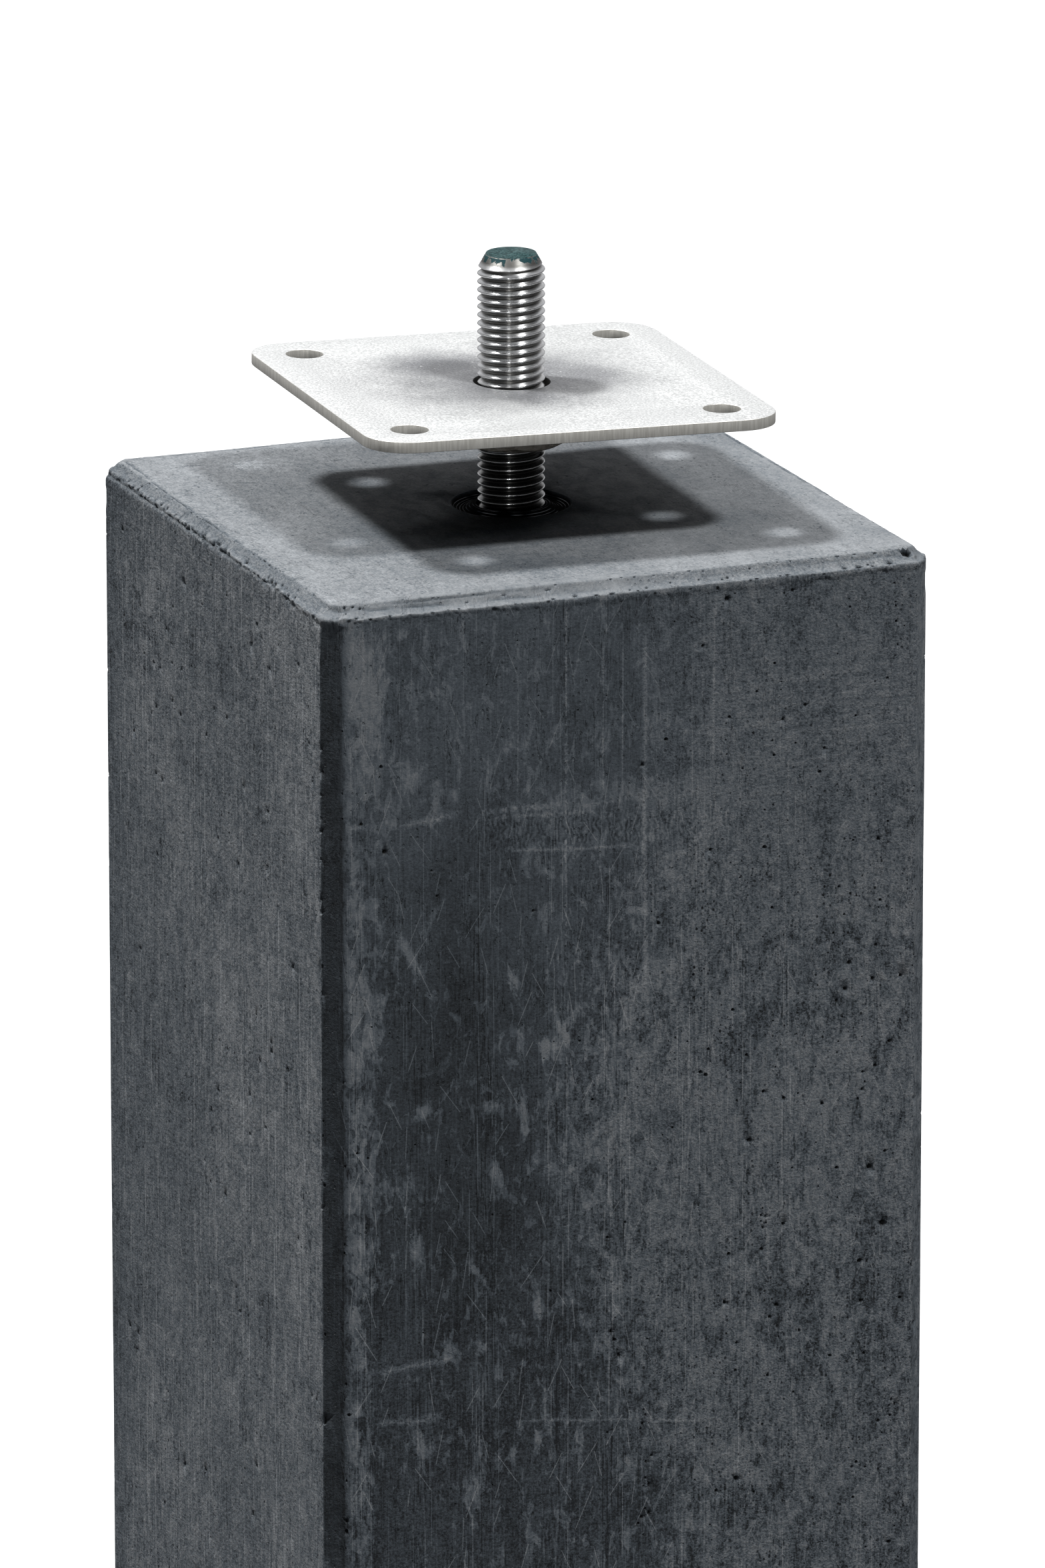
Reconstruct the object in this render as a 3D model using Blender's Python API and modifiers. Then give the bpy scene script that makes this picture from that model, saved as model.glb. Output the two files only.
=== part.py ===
"""Precast concrete post base with a height-adjustable steel plate.

A square block of dark concrete carries a threaded steel rod in a dished
recess on its top.  A square steel plate with four screw holes rides on the
rod, on a hexagon nut welded beneath it, so that it rises or falls as it is
turned.  A timber post is screwed down on the plate.

Metres, +Z up.  The origin is the centre of the block's underside.
"""
import math

import bmesh
import bpy
from mathutils import Matrix, Vector

# Concrete block
BLOCK_WIDTH = 0.150
BLOCK_HEIGHT = 0.600
UPRIGHT_CHAMFER = 0.004
RIM_CHAMFER = 0.003

# Dished recess that the rod stands in
RECESS_RADIUS = 0.014
RECESS_WALL = 0.0006
RECESS_DEPTH = 0.0025
RECESS_FLOOR_RADIUS = 0.0092

# Threaded rod, M16
ROD_RADIUS = 0.0079
THREAD_PITCH = 0.002
THREAD_DEPTH = 0.0011
ROD_ABOVE_BLOCK = 0.0597
ROD_IN_BLOCK = 0.080
THREAD_IN_BLOCK = 0.005
ROD_END_RADIUS = 0.0058
ROD_END_TAPER = 0.003

# Steel plate and the nut welded beneath it
PLATE_WIDTH = 0.100
PLATE_THICKNESS = 0.0027
PLATE_CORNER_RADIUS = 0.010
PLATE_TOP_ABOVE_BLOCK = 0.029
CENTRE_HOLE_RADIUS = 0.009
SCREW_HOLE_RADIUS = 0.0044
SCREW_HOLE_SPACING = 0.0762
NUT_ACROSS_FLATS = 0.024
NUT_HEIGHT = 0.0114
NUT_BORE_RADIUS = 0.0083
NUT_FACE_RADIUS = 0.0115
NUT_CHAMFER_SLOPE = math.radians(30)
NUT_TURN = math.radians(-74.5)

# The plate stands a little askew on its thread
PLATE_TURN = math.radians(-2.4)
PLATE_LEAN_TOWARDS_X = math.radians(1.05)

# Room left between pieces that meet, and past a face that is cut through
GAP = 0.0003
CUT_PAST = 0.002

# Roundness of the turned shapes
ROD_SIDES = 28
RECESS_SIDES = 48
HOLE_SIDES = 24
CORNER_STEPS = 6

BLOCK_TOP = BLOCK_HEIGHT
ROD_TOP = BLOCK_TOP + ROD_ABOVE_BLOCK
ROD_FOOT = BLOCK_TOP - ROD_IN_BLOCK
PLATE_TOP = BLOCK_TOP + PLATE_TOP_ABOVE_BLOCK
NUT_CENTRE = PLATE_TOP - PLATE_THICKNESS - GAP - NUT_HEIGHT / 2
MERGE = 0.00001


def clear_scene():
    for thing in list(bpy.data.objects):
        bpy.data.objects.remove(thing, do_unlink=True)


def new_collection(name):
    group = bpy.data.collections.new(name)
    bpy.context.scene.collection.children.link(group)
    return group


def new_material(name, colour, roughness, metallic):
    made = bpy.data.materials.new(name)
    made.use_nodes = True
    shader = made.node_tree.nodes["Principled BSDF"]
    shader.inputs["Base Color"].default_value = (*colour, 1.0)
    shader.inputs["Roughness"].default_value = roughness
    shader.inputs["Metallic"].default_value = metallic
    made.diffuse_color = (*colour, 1.0)
    return made


def mesh_object(name, bm, group, finish=None):
    bmesh.ops.recalc_face_normals(bm, faces=bm.faces)
    mesh = bpy.data.meshes.new(name)
    bm.to_mesh(mesh)
    bm.free()
    made = bpy.data.objects.new(name, mesh)
    group.objects.link(made)
    if finish:
        mesh.materials.append(finish)
    return made


def turned_object(name, profile, sides, group, finish=None):
    """A solid of revolution about Z, from (radius, height) points that run
    down its outer side from the axis to the axis."""
    bm = bmesh.new()
    points = [bm.verts.new((radius, 0.0, height)) for radius, height in profile]
    for upper, lower in zip(points, points[1:]):
        bm.edges.new((upper, lower))
    mesh = bpy.data.meshes.new(name)
    bm.to_mesh(mesh)
    bm.free()
    made = bpy.data.objects.new(name, mesh)
    group.objects.link(made)
    turn = made.modifiers.new("Turn", 'SCREW')
    turn.axis = 'Z'
    turn.steps = sides
    turn.render_steps = sides
    turn.use_merge_vertices = True
    turn.merge_threshold = MERGE
    turn.use_smooth_shade = False
    if finish:
        mesh.materials.append(finish)
    return made


def make_cutter(cutter):
    cutter.hide_render = True
    cutter.display_type = 'WIRE'
    return cutter


def cut(target, cutter, operation='DIFFERENCE'):
    boolean = target.modifiers.new(cutter.name, 'BOOLEAN')
    boolean.operation = operation
    boolean.solver = 'EXACT'
    boolean.object = make_cutter(cutter)


def edges_where(bm, wanted):
    return [edge for edge in bm.edges if wanted(edge.verts[0].co, edge.verts[1].co)]


def is_upright(a, b):
    return abs(a.z - b.z) > MERGE


def block(parts, cutters, concrete):
    """Square column with chamfered uprights and rims, and the recess and
    blind bore that the rod stands in."""
    bm = bmesh.new()
    bmesh.ops.create_cube(bm, size=1.0)
    bmesh.ops.scale(bm, vec=(BLOCK_WIDTH, BLOCK_WIDTH, BLOCK_HEIGHT), verts=bm.verts)
    bmesh.ops.translate(bm, vec=(0, 0, BLOCK_HEIGHT / 2), verts=bm.verts)
    bmesh.ops.bevel(bm, geom=edges_where(bm, is_upright), offset=UPRIGHT_CHAMFER,
                    offset_type='OFFSET', segments=1, affect='EDGES')
    rims = edges_where(bm, lambda a, b: not is_upright(a, b))
    bmesh.ops.bevel(bm, geom=rims, offset=RIM_CHAMFER,
                    offset_type='OFFSET', segments=1, affect='EDGES')
    made = mesh_object("concrete_block", bm, parts, concrete)
    cut(made, recess_cutter(cutters))
    return made


def recess_profile():
    """Steep wall, then a bowl that flattens towards the rod."""
    steps = 5
    points = [(0.0, BLOCK_TOP + CUT_PAST), (RECESS_RADIUS, BLOCK_TOP + CUT_PAST)]
    fall = RECESS_DEPTH - RECESS_WALL
    for step in range(steps + 1):
        share = step / steps
        radius = RECESS_RADIUS + (RECESS_FLOOR_RADIUS - RECESS_RADIUS) * share
        depth = RECESS_WALL + fall * math.sin(share * math.pi / 2)
        points.append((radius, BLOCK_TOP - depth))
    return points


def recess_cutter(cutters):
    bore = ROD_RADIUS + GAP
    foot = ROD_FOOT - GAP
    profile = recess_profile()
    profile += [(bore, BLOCK_TOP - RECESS_DEPTH), (bore, foot), (0.0, foot)]
    return turned_object("recess_and_bore", profile, RECESS_SIDES, cutters)


def thread_profile(top, foot):
    """Ridges one pitch apart between two heights: rounded off to a flat at
    each crest and a sharp valley between them."""
    crest_half = THREAD_PITCH / 12
    valley = ROD_RADIUS - THREAD_DEPTH
    points = []
    turns = int((top - foot) / THREAD_PITCH)
    for turn in range(turns):
        height = top - THREAD_PITCH * (turn + 0.5)
        points.append((valley, height + THREAD_PITCH / 2))
        points.append((ROD_RADIUS, height + crest_half))
        points.append((ROD_RADIUS, height - crest_half))
    return points


def rod(parts, steel):
    """Threaded from its tapered end to just inside the recess, and plain
    where the concrete hides it."""
    thread_top = ROD_TOP - ROD_END_TAPER
    thread_foot = BLOCK_TOP - THREAD_IN_BLOCK
    profile = [(0.0, ROD_TOP), (ROD_END_RADIUS, ROD_TOP)]
    profile += thread_profile(thread_top, thread_foot)
    profile += [(ROD_RADIUS, ROD_FOOT), (0.0, ROD_FOOT)]
    return turned_object("threaded_rod", profile, ROD_SIDES, parts, steel)


def plate_carrier(cutters):
    """Empty on the rod's axis, at the middle of the nut, that holds the
    plate's small lean and turn."""
    carrier = bpy.data.objects.new("plate_carrier", None)
    cutters.objects.link(carrier)
    lean = Matrix.Rotation(PLATE_LEAN_TOWARDS_X, 4, 'Y')
    turn = Matrix.Rotation(PLATE_TURN, 4, 'Z')
    carrier.matrix_world = Matrix.Translation((0, 0, NUT_CENTRE)) @ lean @ turn
    return carrier


def carry(carrier, thing):
    thing.parent = carrier
    return thing


def round_cutter(name, radius, height, centre, sides, cutters):
    bm = bmesh.new()
    bmesh.ops.create_cone(bm, cap_ends=True, segments=sides, radius1=radius,
                          radius2=radius, depth=height, matrix=Matrix.Translation(centre))
    return mesh_object(name, bm, cutters)


def screw_hole_places():
    half = SCREW_HOLE_SPACING / 2
    return [(x * half, y * half) for y in (-1, 1) for x in (-1, 1)]


def plate(parts, cutters, carrier, steel):
    """Square plate with rounded corners, a centre hole for the rod and a
    screw hole near each corner."""
    middle = NUT_HEIGHT / 2 + GAP + PLATE_THICKNESS / 2
    bm = bmesh.new()
    bmesh.ops.create_cube(bm, size=1.0)
    bmesh.ops.scale(bm, vec=(PLATE_WIDTH, PLATE_WIDTH, PLATE_THICKNESS), verts=bm.verts)
    bmesh.ops.translate(bm, vec=(0, 0, middle), verts=bm.verts)
    bmesh.ops.bevel(bm, geom=edges_where(bm, is_upright), offset=PLATE_CORNER_RADIUS,
                    offset_type='OFFSET', segments=CORNER_STEPS, profile=0.5, affect='EDGES')
    made = carry(carrier, mesh_object("top_plate", bm, parts, steel))
    depth = PLATE_THICKNESS + 2 * CUT_PAST
    centre_hole = round_cutter("centre_hole", CENTRE_HOLE_RADIUS, depth,
                               Vector((0, 0, middle)), 2 * HOLE_SIDES, cutters)
    cut(made, carry(carrier, centre_hole))
    for number, (x, y) in enumerate(screw_hole_places(), start=1):
        hole = round_cutter(f"screw_hole_{number}", SCREW_HOLE_RADIUS, depth,
                            Vector((x, y, middle)), HOLE_SIDES, cutters)
        cut(made, carry(carrier, hole))
    return made


def nut_envelope_profile():
    """The turned shape that takes the corners off both ends of a nut."""
    half = NUT_HEIGHT / 2
    reach = NUT_ACROSS_FLATS / math.sqrt(3) + CUT_PAST
    drop = (reach - NUT_FACE_RADIUS) * math.tan(NUT_CHAMFER_SLOPE)
    return [(0.0, half), (NUT_FACE_RADIUS, half), (reach, half - drop),
            (reach, drop - half), (NUT_FACE_RADIUS, -half), (0.0, -half)]


def nut(parts, cutters, carrier, steel):
    bm = bmesh.new()
    corner = NUT_ACROSS_FLATS / math.sqrt(3)
    turn = Matrix.Rotation(NUT_TURN, 4, 'Z')
    bmesh.ops.create_cone(bm, cap_ends=True, segments=6, radius1=corner, radius2=corner,
                          depth=NUT_HEIGHT + 2 * CUT_PAST, matrix=turn)
    made = carry(carrier, mesh_object("welded_nut", bm, parts, steel))
    envelope = turned_object("nut_envelope", nut_envelope_profile(), RECESS_SIDES, cutters)
    cut(made, carry(carrier, envelope), 'INTERSECT')
    bore = round_cutter("nut_bore", NUT_BORE_RADIUS, NUT_HEIGHT + 2 * CUT_PAST,
                        Vector((0, 0, 0)), 2 * HOLE_SIDES, cutters)
    cut(made, carry(carrier, bore))
    return made


def main():
    clear_scene()
    parts = new_collection("adjustable_post_base")
    cutters = new_collection("cutters_and_guides")
    concrete = new_material("anthracite_concrete", (0.075, 0.082, 0.090), 0.75, 0.0)
    rod_steel = new_material("bright_thread_steel", (0.62, 0.61, 0.58), 0.28, 1.0)
    plate_steel = new_material("satin_plate_steel", (0.80, 0.81, 0.81), 0.42, 0.9)
    nut_steel = new_material("dull_nut_steel", (0.36, 0.33, 0.29), 0.5, 0.9)
    block(parts, cutters, concrete)
    rod(parts, rod_steel)
    carrier = plate_carrier(cutters)
    plate(parts, cutters, carrier, plate_steel)
    nut(parts, cutters, carrier, nut_steel)


main()
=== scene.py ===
"""Adjustable concrete post base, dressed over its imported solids.

A square block of dark cast concrete stands on a pale floor.  A threaded steel
rod rises from a dished recess in its top and carries a square steel plate on
a welded nut.  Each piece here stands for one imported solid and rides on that
solid's body.

Metres, +Z up.  The origin is the centre of the block's underside, and -Y is
the wide side in the picture.
"""
import math

import bmesh
import bpy
import numpy as np
from mathutils import Matrix, Vector, noise
from mathutils.geometry import delaunay_2d_cdt

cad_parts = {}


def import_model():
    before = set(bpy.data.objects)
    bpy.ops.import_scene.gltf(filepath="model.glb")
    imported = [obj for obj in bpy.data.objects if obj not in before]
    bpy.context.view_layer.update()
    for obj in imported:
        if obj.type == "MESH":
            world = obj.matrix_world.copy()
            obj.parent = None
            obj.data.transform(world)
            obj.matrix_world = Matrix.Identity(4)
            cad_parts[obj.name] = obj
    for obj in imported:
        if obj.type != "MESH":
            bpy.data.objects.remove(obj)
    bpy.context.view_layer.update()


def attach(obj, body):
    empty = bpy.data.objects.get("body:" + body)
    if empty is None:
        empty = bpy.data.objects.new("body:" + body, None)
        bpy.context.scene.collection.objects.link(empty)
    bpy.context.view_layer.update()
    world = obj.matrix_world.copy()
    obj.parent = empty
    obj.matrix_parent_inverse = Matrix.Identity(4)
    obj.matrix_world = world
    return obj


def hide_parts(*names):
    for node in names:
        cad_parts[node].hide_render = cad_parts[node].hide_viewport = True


MM = 0.001

# Concrete block
BLOCK_WIDTH = 0.150
BLOCK_HEIGHT = 0.600
UPRIGHT_CHAMFER = 0.004
RIM_CHAMFER = 0.003
CAST_SHRINK = 0.00022
SIDE_SQUEEZE = 0.62

# Dished recess and the bore that the rod stands in
DISH_RADIUS = 0.014
DISH_WALL = 0.0006
DISH_DEPTH = 0.0016
DISH_FLOOR_RADIUS = 0.0092
BORE_RADIUS = 0.0082
BORE_FOOT = 0.5197

# Threaded rod
ROD_RADIUS = 0.0079
THREAD_PITCH = 0.002
THREAD_DEPTH = 0.0011
CREST_SHARE = 0.09
FLANK_SHARE = 0.79
SEAM_GAP = 0.000002
ROD_TOP = 0.6597
ROD_FOOT = 0.520
# Below this height the thread is drawn dark as painted shade of the plate and nut
SHADED_BELOW = 0.6125
THREAD_FOOT = 0.595
ROD_END_RADIUS = 0.00585
ROD_END_TAPER = 0.0036

# Plate and the nut welded beneath it
PLATE_WIDTH = 0.100
PLATE_THICKNESS = 0.0027
PLATE_CORNER_RADIUS = 0.010
PLATE_TOP = 0.629
CENTRE_HOLE_RADIUS = 0.009
SCREW_HOLE_RADIUS = 0.0044
SCREW_HOLE_SPACING = 0.0762
NUT_ACROSS_FLATS = 0.024
NUT_HEIGHT = 0.0114
NUT_BORE_RADIUS = 0.0083
NUT_FACE_RADIUS = 0.0115
NUT_CHAMFER_SLOPE = math.radians(30)
NUT_TURN = math.radians(-74.5)
PLATE_TURN = math.radians(-2.4)
PLATE_LEAN_TOWARDS_X = math.radians(1.05)
WELD_GAP = 0.0003
NUT_CENTRE = PLATE_TOP - PLATE_THICKNESS - WELD_GAP - NUT_HEIGHT / 2

# Where the picture is taken from
VIEW_DISTANCE = 3.2
VIEW_TURN = math.radians(21.70)
VIEW_DROP = math.radians(15.76)
AIM_SIDEWAYS = 0.00264
AIM_HEIGHT = BLOCK_HEIGHT - 0.06835
LENS = 313.46


class Value:
    """A number that a node gives out.  Sums and products with it are made by new nodes."""

    def __init__(self, graph, socket):
        self.graph = graph
        self.socket = socket

    def __add__(self, other):
        return self.graph.math("ADD", self, other)

    def __radd__(self, other):
        return self.graph.math("ADD", other, self)

    def __sub__(self, other):
        return self.graph.math("SUBTRACT", self, other)

    def __rsub__(self, other):
        return self.graph.math("SUBTRACT", other, self)

    def __mul__(self, other):
        return self.graph.math("MULTIPLY", self, other)

    def __rmul__(self, other):
        return self.graph.math("MULTIPLY", other, self)

    def __truediv__(self, other):
        return self.graph.math("DIVIDE", self, other)

    def __abs__(self):
        return self.graph.math("ABSOLUTE", self)


class Graph:
    """One node tree, with short ways to add nodes and wire their inputs."""

    def __init__(self, tree):
        self.tree = tree

    def add(self, kind, inputs=None, **settings):
        node = self.tree.nodes.new(kind)
        for name, value in settings.items():
            setattr(node, name, value)
        self.feed(node, inputs or {})
        return node

    def feed(self, node, inputs):
        for key, value in inputs.items():
            self.wire(value, node.inputs[key])

    def wire(self, value, socket):
        if isinstance(value, Value):
            value = value.socket
        if isinstance(value, bpy.types.NodeSocket):
            self.tree.links.new(value, socket)
        else:
            socket.default_value = value

    def values(self, node):
        """Everything that a node gives out, by name."""
        return {socket.name: Value(self, socket) for socket in node.outputs}

    def value(self, kind, inputs=None, **settings):
        """The first value that a new node gives out."""
        return Value(self, self.add(kind, inputs, **settings).outputs[0])

    def math(self, operation, *values, clamp=False):
        return self.value("ShaderNodeMath", dict(enumerate(values)), operation=operation, use_clamp=clamp)

    def larger(self, first, second):
        return self.math("MAXIMUM", first, second)

    def vector(self, operation, *values):
        inputs = dict(enumerate(values))
        if operation == "SCALE":
            inputs = {0: values[0], 3: values[1]}
        node = self.add("ShaderNodeVectorMath", inputs, operation=operation)
        return Value(self, node.outputs["Value" if operation == "LENGTH" else "Vector"])

    def split(self, vector):
        return [Value(self, part) for part in self.add("ShaderNodeSeparateXYZ", {0: vector}).outputs]

    def stretched(self, vector, x, y, z):
        return self.vector("MULTIPLY", vector, (x, y, z))

    def off_axis(self, place):
        """How far a place lies from the upright axis."""
        return self.vector("LENGTH", self.stretched(place, 1.0, 1.0, 0.0))

    def moved(self, place, seed):
        """The place moved aside, so that one pattern can be used twice without matching."""
        return self.vector("ADD", place, (0.137 * seed, 0.291 * seed, 0.173 * seed))

    def joined(self, x, y, z):
        return self.add("ShaderNodeCombineXYZ", {0: x, 1: y, 2: z}).outputs[0]

    def scaled(self, vector, width, height):
        """A flat place measured in one width across and one height up."""
        return self.vector("DIVIDE", vector, self.joined(width, height, width))

    def step(self, value, low, high, to_low=0.0, to_high=1.0):
        """Smooth change from one level to another as value passes from low to high."""
        return self.value("ShaderNodeMapRange", {"Value": value, "From Min": low, "From Max": high,
            "To Min": to_low, "To Max": to_high}, interpolation_type='SMOOTHSTEP')

    def clouds(self, vector, detail=2.0, roughness=0.5, distortion=0.0, flat=True):
        return self.value("ShaderNodeTexNoise", {"Vector": vector, "Scale": 1.0, "Detail": detail,
            "Roughness": roughness, "Distortion": distortion}, noise_dimensions='2D' if flat else '3D')

    def cells(self, spot, feature='F1'):
        return self.add("ShaderNodeTexVoronoi", {"Vector": spot, "Scale": 1.0}, voronoi_dimensions='2D',
            feature=feature).outputs

    def grit(self, place, size, detail=3.0):
        """Cloudy noise of one size all through a piece."""
        return self.clouds(self.vector("SCALE", place, 1 / size), detail=detail, roughness=0.65,
            flat=False)

    def mix(self, share, first, second):
        """The colour part way from first to second, each as red, green and blue or a node's."""
        colours = [(*colour, 1.0) if isinstance(colour, tuple) else colour for colour in (first, second)]
        return self.add("ShaderNodeMix", {0: share, 6: colours[0], 7: colours[1]},
            data_type='RGBA').outputs[2]

    def blend(self, share, first, second):
        """The number part way from first to second."""
        return self.value("ShaderNodeMix", {0: share, 2: first, 3: second}, data_type='FLOAT')

    def layered(self, base, *layers):
        """The base colour with each (share, colour) laid over it in turn."""
        for share, colour in layers:
            base = self.mix(share, base, colour)
        return base

    def pattern(self, tree, place, **sizes):
        """What a shared pattern draws at a place."""
        return self.value("ShaderNodeGroup", {"Vector": place, **sizes}, node_tree=tree)

    def point_values(self, name):
        """The three numbers that each point of the mesh carries under one name."""
        return self.split(self.add("ShaderNodeAttribute", attribute_name=name).outputs["Vector"])

    def bump(self, height, distance):
        return self.add("ShaderNodeBump", {"Height": height, "Distance": distance,
            "Strength": 1.0}).outputs[0]

    def shape(self, kind, inputs, **settings):
        """The first output of a new geometry node."""
        return self.add("GeometryNode" + kind, inputs, **settings).outputs[0]


def shader_group(name, output, **sizes):
    """A pattern that several finishes share, as (tree, graph, inputs, output socket).
    It takes the place to draw at, as Vector, and the sizes with their usual values."""
    tree = bpy.data.node_groups.new(name, "ShaderNodeTree")
    tree.interface.new_socket("Vector", in_out="INPUT", socket_type="NodeSocketVector")
    for label, value in sizes.items():
        socket = tree.interface.new_socket(label, in_out="INPUT", socket_type="NodeSocketFloat")
        socket.default_value = value
    tree.interface.new_socket(output, in_out="OUTPUT", socket_type="NodeSocketFloat")
    graph = Graph(tree)
    return tree, graph, graph.values(graph.add("NodeGroupInput")), graph.add("NodeGroupOutput").inputs[0]


def some_of(graph, spot, share, stretch):
    """Mask that leaves about a share of a pattern, by soft clouds over the same place."""
    gaps = graph.clouds(graph.stretched(spot, *stretch), detail=2.0)
    limit = 0.68 - share * 0.3
    return graph.step(gaps, limit, limit + 0.08)


def grain_pattern():
    """Fine grain of one size, from 0 to 1, with its coarser half mixed in."""
    tree, graph, given, made = shader_group("fine_grain", "Grain", Size=0.0004)
    spot = graph.scaled(given["Vector"], given["Size"], given["Size"])
    graph.wire(graph.clouds(spot, detail=3.0, roughness=0.7), made)
    return tree


def line_pattern():
    """Parallel broken hairlines, Length long and Width apart, as drawn by a float."""
    tree, graph, given, made = shader_group("drawn_lines", "Lines", Width=0.0004, Length=0.02, Share=0.5)
    spot = graph.scaled(given["Vector"], given["Width"], given["Length"])
    comb = graph.step(graph.clouds(spot, detail=1.0), 0.57, 0.68)
    graph.wire(comb * some_of(graph, spot, given["Share"], (0.11, 0.8, 1.0)), made)
    return tree


def crack_pattern():
    """Thin wandering lines that follow the contours of long soft clouds."""
    tree, graph, given, made = shader_group("wandering_cracks", "Cracks", Width=0.001, Length=0.02,
        Thinness=0.03, Share=0.5)
    spot = graph.scaled(given["Vector"], given["Width"], given["Length"])
    off_middle = abs(graph.clouds(spot, detail=3.0, roughness=0.6) - 0.5)
    line = graph.step(off_middle, given["Thinness"], 0.0)
    graph.wire(line * some_of(graph, spot, given["Share"], (0.35, 0.8, 1.0)), made)
    return tree


def scratch_pattern():
    """Straight single scratches, one in each cell, that lean at most Lean radians off
    upright."""
    tree, graph, given, made = shader_group("single_scratches", "Scratches", Spacing=0.01, Width=0.00015,
        Length=0.008, Lean=1.5, Share=0.5)
    spot = graph.scaled(given["Vector"], given["Spacing"], given["Spacing"])
    cells = graph.cells(spot)
    luck = graph.split(cells["Color"])
    away = graph.split(graph.vector("SUBTRACT", spot, cells["Position"]))
    lean = (luck[0] * 2.0 - 1.0) * given["Lean"]
    across, down = graph.math("COSINE", lean), graph.math("SINE", lean)
    off_line = abs(away[0] * across - away[1] * down)
    along = abs(away[0] * down + away[1] * across)
    width = given["Width"] / given["Spacing"]
    reach = given["Length"] / given["Spacing"] * graph.step(luck[1], 0.0, 1.0, 0.15, 0.5)
    line = graph.step(off_line, width, width * 0.3)
    ends = graph.step(along, reach, reach * 0.6)
    graph.wire(line * ends * graph.math("LESS_THAN", luck[2], given["Share"]), made)
    return tree


def dot_pattern():
    """Scattered round dots of mixed size, as a mask, with no dot in most cells."""
    tree, graph, given, made = shader_group("scattered_dots", "Dots", Spacing=0.002, Size=0.2, Share=0.4)
    cells = graph.cells(graph.scaled(given["Vector"], given["Spacing"], given["Spacing"]))
    luck = graph.split(cells["Color"])
    radius = given["Size"] * graph.step(luck[1], 0.0, 1.0, 0.45, 1.0)
    dots = graph.step(cells["Distance"], radius, radius * 0.55)
    graph.wire(dots * graph.math("LESS_THAN", luck[0], given["Share"]), made)
    return tree


def patch_pattern():
    """Ragged patches with streaky sides, from 0 to 1.  Amount from -1 to 1 makes them
    fewer or more."""
    tree, graph, given, made = shader_group("ragged_patches", "Patches", Width=0.004, Height=0.009,
        Streaks=1.0, Softness=0.4, Amount=0.0)
    spot = graph.scaled(given["Vector"], given["Width"], given["Height"])
    cloud = graph.clouds(spot, detail=6.0, roughness=0.64, distortion=0.5) - 0.5
    comb = graph.clouds(graph.stretched(spot, 7.0, 0.9, 1.0), detail=2.0) - 0.5
    value = cloud * 6.2 + comb * given["Streaks"] + given["Amount"]
    graph.wire(graph.step(value, given["Softness"] * -1.0, given["Softness"]), made)
    return tree


def web_pattern():
    """Dark veins between small irregular grains, thick where clouds of them meet."""
    tree, graph, given, made = shader_group("dark_web", "Web", Size=0.002)
    spot = graph.scaled(given["Vector"], given["Size"], given["Size"])
    stir = graph.add("ShaderNodeTexNoise", {"Vector": spot, "Scale": 0.9, "Detail": 3.0},
        noise_dimensions='2D').outputs["Color"]
    aside = graph.vector("SCALE", graph.vector("SUBTRACT", stir, (0.5, 0.5, 0.5)), 2.2)
    veins = graph.cells(graph.vector("ADD", spot, aside), 'DISTANCE_TO_EDGE')["Distance"]
    cloud = graph.clouds(graph.stretched(spot, 0.45, 0.45, 1.0), detail=5.0, roughness=0.7)
    thick = graph.step(cloud, 0.42, 0.66)
    graph.wire(graph.step(veins, thick * 0.3, 0.0) * thick, made)
    return tree


def new_material(name):
    made = bpy.data.materials.new(name)
    made.use_nodes = True
    graph = Graph(made.node_tree)
    shader = made.node_tree.nodes["Principled BSDF"]
    return made, graph, shader


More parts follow.
